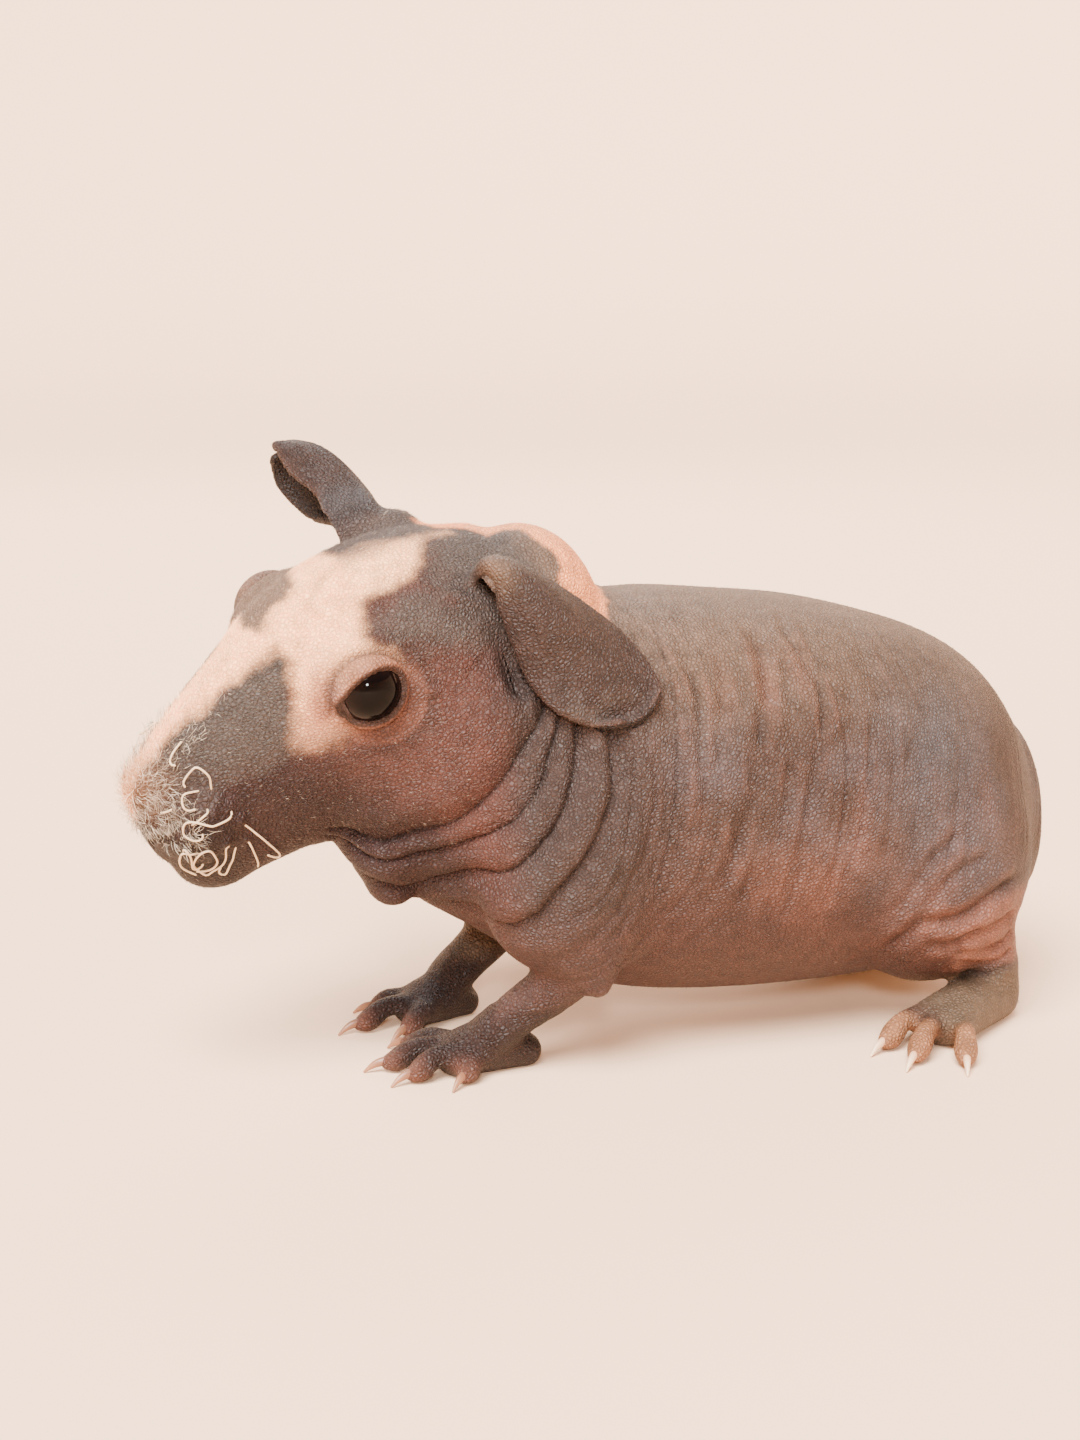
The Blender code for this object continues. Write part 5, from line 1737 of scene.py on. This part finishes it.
def mesh_piece(name: str, points: np.ndarray, triangles: np.ndarray) -> bpy.types.Object:
    """Links a large triangle mesh.

    Args:
        name: The piece's name.
        points: Its points, in metres.
        triangles: Three columns.

    Returns:
        The object.
    """
    mesh = bpy.data.meshes.new(name)
    mesh.vertices.add(len(points))
    mesh.vertices.foreach_set("co", points.astype(np.float32).ravel())
    mesh.loops.add(triangles.size)
    mesh.loops.foreach_set("vertex_index", triangles.ravel().astype(np.int32))
    mesh.polygons.add(len(triangles))
    mesh.polygons.foreach_set("loop_start", np.arange(0, triangles.size, 3, dtype=np.int32))
    mesh.update(calc_edges=True)
    mesh.shade_smooth()
    made = bpy.data.objects.new(name, mesh)
    bpy.context.scene.collection.objects.link(made)
    return made


@dataclass
class Whiskers:
    """The curled whiskers of the lip, the same on both sides.

    Args:
        skin: The skin that they stand on.
        place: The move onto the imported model.
        radius: Half thickness at the root.
        clear: How far a whisker stays off the skin past its root.
        runs: Each whisker as points of the head's axes, from its root outwards.
    """

    skin: Skin
    place: Place
    radius: float = 0.042
    clear: float = 0.5
    runs: tuple[tuple[Triple, ...], ...] = (
        ((22.3, 7.4, -3.7), (22.0, 7.5, -2.4), (22.0, 7.5, -1.2), (22.6, 6.8, 0.1), (23.4, 6.3, -0.1),
         (24.7, 5.5, -1.5), (25.0, 5.9, -2.2)),
        ((24.0, 6.9, -3.2), (25.5, 7.1, -2.3), (26.3, 7.1, -2.5), (26.8, 7.6, -3.5),
         (26.5, 7.9, -4.3), (25.6, 8.0, -4.8)),
        (
            (21.5, 9.0, -7.4), (22.2, 9.8, -7.8), (24.4, 10.4, -7.0), (25.5, 10.3, -6.3),
            (27.4, 9.0, -5.0), (28.4, 8.5, -6.3), (28.3, 8.6, -7.3), (27.0, 9.1, -8.0),
            (26.6, 9.2, -7.7),
        ),
        ((24.2, 8.5, -5.5), (24.6, 9.5, -5.1), (25.3, 9.7, -5.1), (26.0, 9.1, -5.7), (26.8, 8.5, -6.2)),
        (
            (23.9, 9.3, -11.8), (24.4, 9.1, -12.9), (24.8, 7.1, -15.7), (26.6, 6.3, -17.2),
            (27.6, 5.7, -17.5), (28.3, 5.8, -15.2), (28.6, 8.5, -11.8), (27.2, 9.8, -10.1),
            (26.4, 9.9, -10.7), (25.8, 8.4, -13.6), (26.0, 6.0, -16.1), (27.9, 4.9, -16.5),
        ),
        ((27.7, 8.7, -10.9), (28.7, 8.6, -10.4), (29.6, 8.2, -9.9), (29.9, 7.3, -10.9),
         (29.6, 4.8, -14.0), (29.2, 4.0, -16.0), (28.1, 4.3, -17.4)),
        ((29.3, 7.5, -10.3), (29.2, 8.4, -9.3), (28.9, 8.4, -11.3), (28.4, 5.3, -15.2),
         (27.5, 5.4, -15.3), (27.5, 7.7, -13.3)),
        ((22.8, 8.5, -13.9), (23.8, 7.9, -16.0), (24.6, 7.4, -17.4), (25.3, 6.7, -18.6),
         (25.6, 6.1, -17.8), (25.2, 6.4, -16.6)),
        ((20.5, 9.2, -10.8), (19.7, 9.3, -12.7), (19.0, 9.4, -14.5), (17.7, 8.9, -18.4),
         (17.5, 8.1, -19.9), (18.1, 8.2, -19.7), (19.1, 8.7, -18.2)),
        ((20.9, 8.8, -13.7), (20.8, 8.8, -15.1), (20.7, 8.5, -17.1), (20.6, 7.9, -19.0), (20.7, 7.4, -19.9)),
        ((22.4, 3.2, 2.4), (23.6, 3.5, 2.1), (24.6, 3.8, 1.7), (25.2, 4.4, 1.2), (24.9, 4.9, 1.0)),
        ((29.2, 4.9, -4.6), (28.7, 6.1, -4.0), (28.2, 6.7, -3.6)),
    )

    def stood_off(self, fine: np.ndarray, tree: KDTree, normals: np.ndarray) -> np.ndarray:
        """Lifts a whisker off the skin wherever it would dip in.

        Args:
            fine: Its points.
            tree: The skin's points.
            normals: The skin's normals.

        Returns:
            The points after it.
        """
        share = step(0.03, 0.2, np.linspace(0, 1, len(fine)))
        for _ in range(3):
            moved = fine.copy()
            for i, point in enumerate(fine):
                ground, k, _ = tree.find(point)
                rise = (point - np.array(ground)) @ normals[k]
                moved[i] += normals[k] * max(0.0, self.clear * share[i] - rise)
            fine = moved
            fine[1:-1] = (fine[:-2] + 2 * fine[1:-1] + fine[2:]) / 4
        return fine

    def build(self) -> bpy.types.Object:
        """Makes all the whiskers as one mesh."""
        surface = self.skin.surface
        normals = surface.normals()
        near = np.nonzero(HEAD.inside(surface.points)[:, 0] > 12)[0]
        tree = KDTree(len(near))
        for i in near:
            tree.insert(surface.points[i], int(i))
        tree.balance()
        points: list[np.ndarray] = []
        faces: Faces = []
        start = 0
        for side in Side:
            for run in self.runs:
                known = HEAD.outside(np.array(run) * (1, side.value, 1))
                at = np.linspace(0, len(run) - 1, 6 * len(run))
                fine = self.stood_off(spline(np.arange(len(run)), known, at), tree, normals)
                size = self.radius * np.linspace(1, 0.45, len(fine))
                rows = [(tuple(p), s, s) for p, s in zip(fine, size)]
                body, skin = tube(rows, side=(0.31, 0.4, 0.86), grain=0.35, sides=6, caps=2)
                points.append(body)
                faces += [tuple(start + i for i in f) for f in skin]
                start += len(body)
        piece = object_from("whiskers", self.place.metres(np.vstack(points)), faces)
        piece.data.shade_smooth()
        paint(piece, np.tile(srgb(214, 186, 150), (start, 1)))
        piece.data.materials.append(FuzzFinish().material())
        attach(piece, "root")
        return piece


@dataclass
class EyePiece:
    """One glossy eyeball with its slight corneal bulge."""

    side: Side
    place: Place

    def build(self) -> bpy.types.Object:
        """Makes the eyeball, which replaces its node."""
        points, faces = ball((0, 0, 0), (1, 1, 1))
        looks = np.array(Vector(EYE.looks).normalized())
        toward = points @ looks
        radius = EYE.radius * (0.985 + 0.035 * step(0.55, 1.0, toward))
        local = (np.array(EYE.at) + points * radius[:, None]) * (1, self.side.value, 1)
        name = f"eye_{self.side.name.lower()}"
        if self.side is Side.RIGHT:
            faces = [f[::-1] for f in faces]
        eye = object_from(f"{name}_gloss", self.place.metres(HEAD.outside(local)), faces)
        eye.data.shade_smooth()
        shade = step(0.9, 0.5, toward)[:, None]
        paint(eye, srgb(5, 3, 3) + shade * (srgb(20, 9, 7) - srgb(5, 3, 3)))
        eye.data.materials.append(EyeFinish().material())
        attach(eye, "root")
        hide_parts(name)
        return eye


@dataclass
class Claws:
    """The claws of one leg, each curved down to the floor."""

    name: str
    leg: Leg
    place: Place

    def build(self) -> None:
        """Makes each claw, which replaces its node."""
        for i, (root, tip) in enumerate(self.leg.toes):
            a, b = np.array(root), np.array(tip)
            ahead = (b - a) * (1, 1, 0)
            ahead /= np.linalg.norm(ahead)
            start = b + (0, 0, 0.35) - ahead * 0.9
            end = b + ahead * 3.3
            end[2] = SOLE + 0.25
            middle = start + 0.55 * (end - start) + (0, 0, 0.5)
            rows = [(start, 0.75, 0.72), (middle, 0.6, 0.5), (end, 0.16, 0.16)]
            points, faces = tube(rows, side=tuple(np.cross(ahead, (0, 0, 1))), grain=0.25, sides=14, caps=3)
            claw = object_from(f"nail_{self.name}_{i + 1}", self.place.metres(points), faces)
            claw.data.shade_smooth()
            t = step(0, 1, (points - start) @ ahead / ((end - start) @ ahead))[:, None]
            fore = self.leg.kind is Limb.FORE
            quick = srgb(96, 58, 42) if fore else srgb(196, 132, 98)
            point = srgb(150, 104, 76) if fore else srgb(226, 196, 160)
            paint(claw, quick + t * (point - quick))
            claw.data.materials.append(ClawFinish().material())
            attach(claw, "root")
            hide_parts(f"claw_{self.name}_{i + 1}")


def link(tree: bpy.types.NodeTree, source: bpy.types.NodeSocket, target: bpy.types.NodeSocket) -> None:
    """Joins two sockets."""
    tree.links.new(source, target)


def remap(
    tree: bpy.types.NodeTree, source: bpy.types.NodeSocket, low: float, high: float, **ends: float
) -> bpy.types.NodeSocket:
    """Stretches a value from low and high to the ends given as start and stop, or else 0 and 1."""
    node = tree.nodes.new("ShaderNodeMapRange")
    node.inputs["From Min"].default_value = low
    node.inputs["From Max"].default_value = high
    node.inputs["To Min"].default_value = ends.get("start", 0.0)
    node.inputs["To Max"].default_value = ends.get("stop", 1.0)
    link(tree, source, node.inputs["Value"])
    return node.outputs["Result"]


def start_group(
    name: str, inputs: dict[str, str], outputs: dict[str, str]
) -> tuple[bpy.types.NodeTree, bpy.types.Node, bpy.types.Node]:
    """Starts a shader group with its sockets, each given as name and kind.

    Returns:
        The group and its inward and outward nodes.
    """
    group = bpy.data.node_groups.new(name, "ShaderNodeTree")
    for way, named in (("INPUT", inputs), ("OUTPUT", outputs)):
        for socket, kind in named.items():
            group.interface.new_socket(socket, in_out=way, socket_type=f"NodeSocket{kind}")
    return group, group.nodes.new("NodeGroupInput"), group.nodes.new("NodeGroupOutput")


def grain_group() -> bpy.types.NodeTree:
    """Makes the grain of bare skin, once: a mottled tone, its roughness and its normal."""
    known = bpy.data.node_groups.get("skin_grain")
    if known:
        return known
    group, into, out = start_group(
        "skin_grain",
        {"Tone": "Color", "Cell size": "Float", "Depth": "Float"},
        {"Color": "Color", "Roughness": "Float", "Normal": "Vector"},
    )
    nodes = group.nodes
    where = nodes.new("ShaderNodeTexCoord")
    cells = nodes.new("ShaderNodeTexVoronoi")
    cells.feature = "DISTANCE_TO_EDGE"
    blotch = nodes.new("ShaderNodeTexNoise")
    blotch.inputs["Scale"].default_value = 420
    blotch.inputs["Detail"].default_value = 4
    pores = nodes.new("ShaderNodeTexNoise")
    pores.inputs["Scale"].default_value = 2600
    pores.inputs["Detail"].default_value = 2
    for texture in (cells, blotch, pores):
        link(group, where.outputs["Object"], texture.inputs["Vector"])
    link(group, into.outputs["Cell size"], cells.inputs["Scale"])
    light = remap(group, blotch.outputs["Fac"], 0.3, 0.7, start=0.78, stop=1.22)
    speck = remap(group, pores.outputs["Fac"], 0.57, 0.72, start=1.0, stop=1.3)
    seam = remap(group, cells.outputs["Distance"], 0, 0.22, start=0.62, stop=1.0)
    rough = remap(group, blotch.outputs["Fac"], 0, 1, start=0.46, stop=0.62)
    edge = remap(group, cells.outputs["Distance"], 0, 0.35)
    tint = nodes.new("ShaderNodeVectorMath")
    tint.operation = "SCALE"
    link(group, into.outputs["Tone"], tint.inputs[0])
    share = light
    for factor in (seam, speck):
        times = nodes.new("ShaderNodeMath")
        times.operation = "MULTIPLY"
        link(group, share, times.inputs[0])
        link(group, factor, times.inputs[1])
        share = times.outputs["Value"]
    link(group, share, tint.inputs["Scale"])
    link(group, tint.outputs["Vector"], out.inputs["Color"])
    link(group, rough, out.inputs["Roughness"])
    height = nodes.new("ShaderNodeMath")
    height.operation = "MULTIPLY_ADD"
    height.inputs[1].default_value = 0.6
    link(group, pores.outputs["Fac"], height.inputs[0])
    link(group, edge, height.inputs[2])
    bump = nodes.new("ShaderNodeBump")
    bump.inputs["Distance"].default_value = 0.00025
    link(group, into.outputs["Depth"], bump.inputs["Strength"])
    link(group, height.outputs["Value"], bump.inputs["Height"])
    link(group, bump.outputs["Normal"], out.inputs["Normal"])
    return group


def tint_group() -> bpy.types.NodeTree:
    """Makes the tone scaled by fine noise, once, for fuzz and horn."""
    known = bpy.data.node_groups.get("noisy_tone")
    if known:
        return known
    group, into, out = start_group(
        "noisy_tone",
        {"Tone": "Color", "Noise scale": "Float", "Low": "Float", "High": "Float"},
        {"Color": "Color", "Grain": "Float"},
    )
    nodes = group.nodes
    where = nodes.new("ShaderNodeTexCoord")
    noise = nodes.new("ShaderNodeTexNoise")
    link(group, where.outputs["Object"], noise.inputs["Vector"])
    link(group, into.outputs["Noise scale"], noise.inputs["Scale"])
    light = nodes.new("ShaderNodeMapRange")
    link(group, noise.outputs["Fac"], light.inputs["Value"])
    link(group, into.outputs["Low"], light.inputs["To Min"])
    link(group, into.outputs["High"], light.inputs["To Max"])
    tint = nodes.new("ShaderNodeVectorMath")
    tint.operation = "SCALE"
    link(group, into.outputs["Tone"], tint.inputs[0])
    link(group, light.outputs["Result"], tint.inputs["Scale"])
    link(group, tint.outputs["Vector"], out.inputs["Color"])
    link(group, noise.outputs["Fac"], out.inputs["Grain"])
    return group


def tinted(
    tree: bpy.types.NodeTree, tone: bpy.types.Node, scale: float, low: float, high: float
) -> bpy.types.Node:
    """Adds the noisy tone to a material.

    Args:
        tree: The material's nodes.
        tone: The node that reads the tone.
        scale: How fine the noise is.
        low: The tone's least share.
        high: Its greatest share.

    Returns:
        The group's node.
    """
    node = tree.nodes.new("ShaderNodeGroup")
    node.node_tree = tint_group()
    node.inputs["Noise scale"].default_value = scale
    node.inputs["Low"].default_value = low
    node.inputs["High"].default_value = high
    link(tree, tone.outputs["Color"], node.inputs["Tone"])
    return node


def principled(name: str) -> tuple[bpy.types.Material, bpy.types.Node, bpy.types.Node]:
    """Starts a material that reads the piece's tone.

    Args:
        name: The finish's name.

    Returns:
        The material, its shader and the node that reads the tone.
    """
    made = bpy.data.materials.new(name)
    made.use_nodes = True
    nodes = made.node_tree.nodes
    tone = nodes.new("ShaderNodeAttribute")
    tone.attribute_name = "tone"
    return made, nodes["Principled BSDF"], tone


@dataclass(frozen=True)
class SkinFinish:
    """Bare skin: matte, finely grained, with a soft sheen."""

    name: str = "bare_skin"
    cells: float = 1700.0
    depth: float = 0.8
    specular: float = 0.24

    def material(self) -> bpy.types.Material:
        """Makes the material."""
        made, shader, tone = principled(self.name)
        tree = made.node_tree
        grain = tree.nodes.new("ShaderNodeGroup")
        grain.node_tree = grain_group()
        grain.inputs["Cell size"].default_value = self.cells
        grain.inputs["Depth"].default_value = self.depth
        link(tree, tone.outputs["Color"], grain.inputs["Tone"])
        link(tree, grain.outputs["Color"], shader.inputs["Base Color"])
        link(tree, grain.outputs["Roughness"], shader.inputs["Roughness"])
        link(tree, grain.outputs["Normal"], shader.inputs["Normal"])
        shader.inputs["Specular IOR Level"].default_value = self.specular
        return made


@dataclass(frozen=True)
class FuzzFinish:
    """Fine pale hair."""

    name: str = "fuzz"
    roughness: float = 0.55

    def material(self) -> bpy.types.Material:
        """Makes the material once."""
        known = bpy.data.materials.get(self.name)
        if known:
            return known
        made, shader, tone = principled(self.name)
        tree = made.node_tree
        tint = tinted(tree, tone, 900, 0.88, 1.12)
        link(tree, tint.outputs["Color"], shader.inputs["Base Color"])
        shader.inputs["Roughness"].default_value = self.roughness
        return made


@dataclass(frozen=True)
class EyeFinish:
    """Wet, nearly black gloss."""

    name: str = "eye_gloss"
    roughness: float = 0.04

    def material(self) -> bpy.types.Material:
        """Makes the material."""
        made, shader, tone = principled(self.name)
        tree = made.node_tree
        link(tree, tone.outputs["Color"], shader.inputs["Base Color"])
        shader.inputs["Roughness"].default_value = self.roughness
        shader.inputs["Specular IOR Level"].default_value = 0.1
        return made


@dataclass(frozen=True)
class ClawFinish:
    """Pale satin horn with fine mottling in tone and relief."""

    name: str = "horn"
    roughness: float = 0.38

    def material(self) -> bpy.types.Material:
        """Makes the material once."""
        known = bpy.data.materials.get(self.name)
        if known:
            return known
        made, shader, tone = principled(self.name)
        tree = made.node_tree
        tint = tinted(tree, tone, 1400, 0.8, 1.15)
        link(tree, tint.outputs["Color"], shader.inputs["Base Color"])
        bump = tree.nodes.new("ShaderNodeBump")
        bump.inputs["Distance"].default_value = 0.00005
        bump.inputs["Strength"].default_value = 0.4
        link(tree, tint.outputs["Grain"], bump.inputs["Height"])
        link(tree, bump.outputs["Normal"], shader.inputs["Normal"])
        shader.inputs["Roughness"].default_value = self.roughness
        return made


@dataclass(frozen=True)
class FloorFinish:
    """Plain pale matte floor."""

    name: str = "pale_floor"
    tone: Triple = (242, 202, 168)

    def material(self) -> bpy.types.Material:
        """Makes the material."""
        made = bpy.data.materials.new(self.name)
        made.use_nodes = True
        shader = made.node_tree.nodes["Principled BSDF"]
        shader.inputs["Base Color"].default_value = (*srgb(*self.tone), 1)
        shader.inputs["Roughness"].default_value = 0.85
        return made


@dataclass(frozen=True)
class SoftLight:
    """One soft light, turned to the middle of the body.

    Args:
        name: Its name.
        at: Where it stands, or the way that it shines from.
        size: Width and height of its panel, or none for light from far off.
        power: Its power, or its strength where it is far off.
        tint: Its colour.
        spread: How many degrees wide a far light is.
    """

    name: str
    at: Triple
    size: tuple[float, float] | None
    power: float
    tint: Triple = (1.0, 1.0, 1.0)
    spread: float = 35.0

    def build(self) -> None:
        """Hangs the light."""
        if self.size:
            data = bpy.data.lights.new(self.name, "AREA")
            data.shape = "RECTANGLE"
            data.size, data.size_y = self.size
        else:
            data = bpy.data.lights.new(self.name, "SUN")
            data.angle = radians(self.spread)
        data.energy = self.power
        data.color = self.tint
        lamp = bpy.data.objects.new(self.name, data)
        lamp.location = self.at
        way = Vector((0, 0, 0.045)) - Vector(self.at)
        lamp.rotation_euler = way.to_track_quat("-Z", "Y").to_euler()
        bpy.context.scene.collection.objects.link(lamp)


@dataclass
class Studio:
    """Floor, soft lights and the camera at the photograph's viewing angle."""

    place: Place
    azimuth: float = -22.0
    elevation: float = 11.0
    distance: float = 313.0
    aim: Triple = (-12.0, -9.0, 51.0)
    lens: float = 55.0
    lights: tuple[SoftLight, ...] = (
        SoftLight("key", (-0.4, -0.42, 0.8), None, 14.0, (1.0, 0.97, 0.93)),
        SoftLight("spark", (-0.33, -0.8, 0.395), (0.1, 0.1), 9.0, (0.94, 0.97, 1.0)),
        SoftLight("back", (0.2, 0.8, 0.7), (0.7, 0.5), 7.0, (0.98, 0.98, 1.0)),
    )

    def build(self) -> None:
        """Sets it all up."""
        self.floor()
        for light in self.lights:
            light.build()
        world = bpy.data.worlds.new("pale_room")
        world.use_nodes = True
        back = world.node_tree.nodes["Background"]
        back.inputs["Color"].default_value = (*srgb(246, 234, 224), 1)
        back.inputs["Strength"].default_value = 0.45
        bpy.context.scene.world = world
        self.camera()

    def floor(self) -> None:
        """Lays the floor, which turns up far off."""
        spokes = 48
        radii = np.array([0.5, 1.0, 2.0, 3.0, 3.6, 4.2, 4.8, 5.4, 5.8, 6.0])
        heights = np.where(radii > 3, 3.2 * ((radii - 3) / 3) ** 2, 0)
        angle = 2 * pi * np.arange(spokes) / spokes
        rings = [
            np.stack([r * np.cos(angle), r * np.sin(angle), 0 * angle + h], axis=1)
            for r, h in zip(radii, heights)
        ]
        points, faces = body_of_rings(np.array(rings))
        floor = object_from("floor", points, [f for f in faces if len(f) == 4 or f[0] == spokes - 1])
        floor.data.shade_smooth()
        floor.data.materials.append(FloorFinish().material())

    def camera(self) -> None:
        """Sets the camera."""
        az, el = radians(self.azimuth), radians(self.elevation)
        back = np.array([sin(az) * cos(el), -cos(az) * cos(el), sin(el)])
        at = np.array(self.aim) + back * self.distance
        data = bpy.data.cameras.new("camera")
        data.sensor_fit = "AUTO"
        data.sensor_width = 36.0
        data.lens = self.lens
        data.clip_start = 0.01
        camera = bpy.data.objects.new("camera", data)
        camera.location = self.place.metres(at)
        camera.rotation_euler = Vector(-back).to_track_quat("-Z", "Y").to_euler()
        bpy.context.scene.collection.objects.link(camera)
        bpy.context.scene.camera = camera


def main() -> None:
    """Builds the dressed model in order."""
    logging.basicConfig(level=logging.INFO, format="%(message)s")
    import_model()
    place = Place.from_model()
    Studio(place).build()
    skin = Skin(place)
    skin.build()
    for side in Side:
        EyePiece(side, place).build()
    for name, leg in LEGS.items():
        Claws(name, leg, place).build()
    Coat(skin, place).build()
    Whiskers(skin, place).build()


if __name__ == "__main__":
    main()
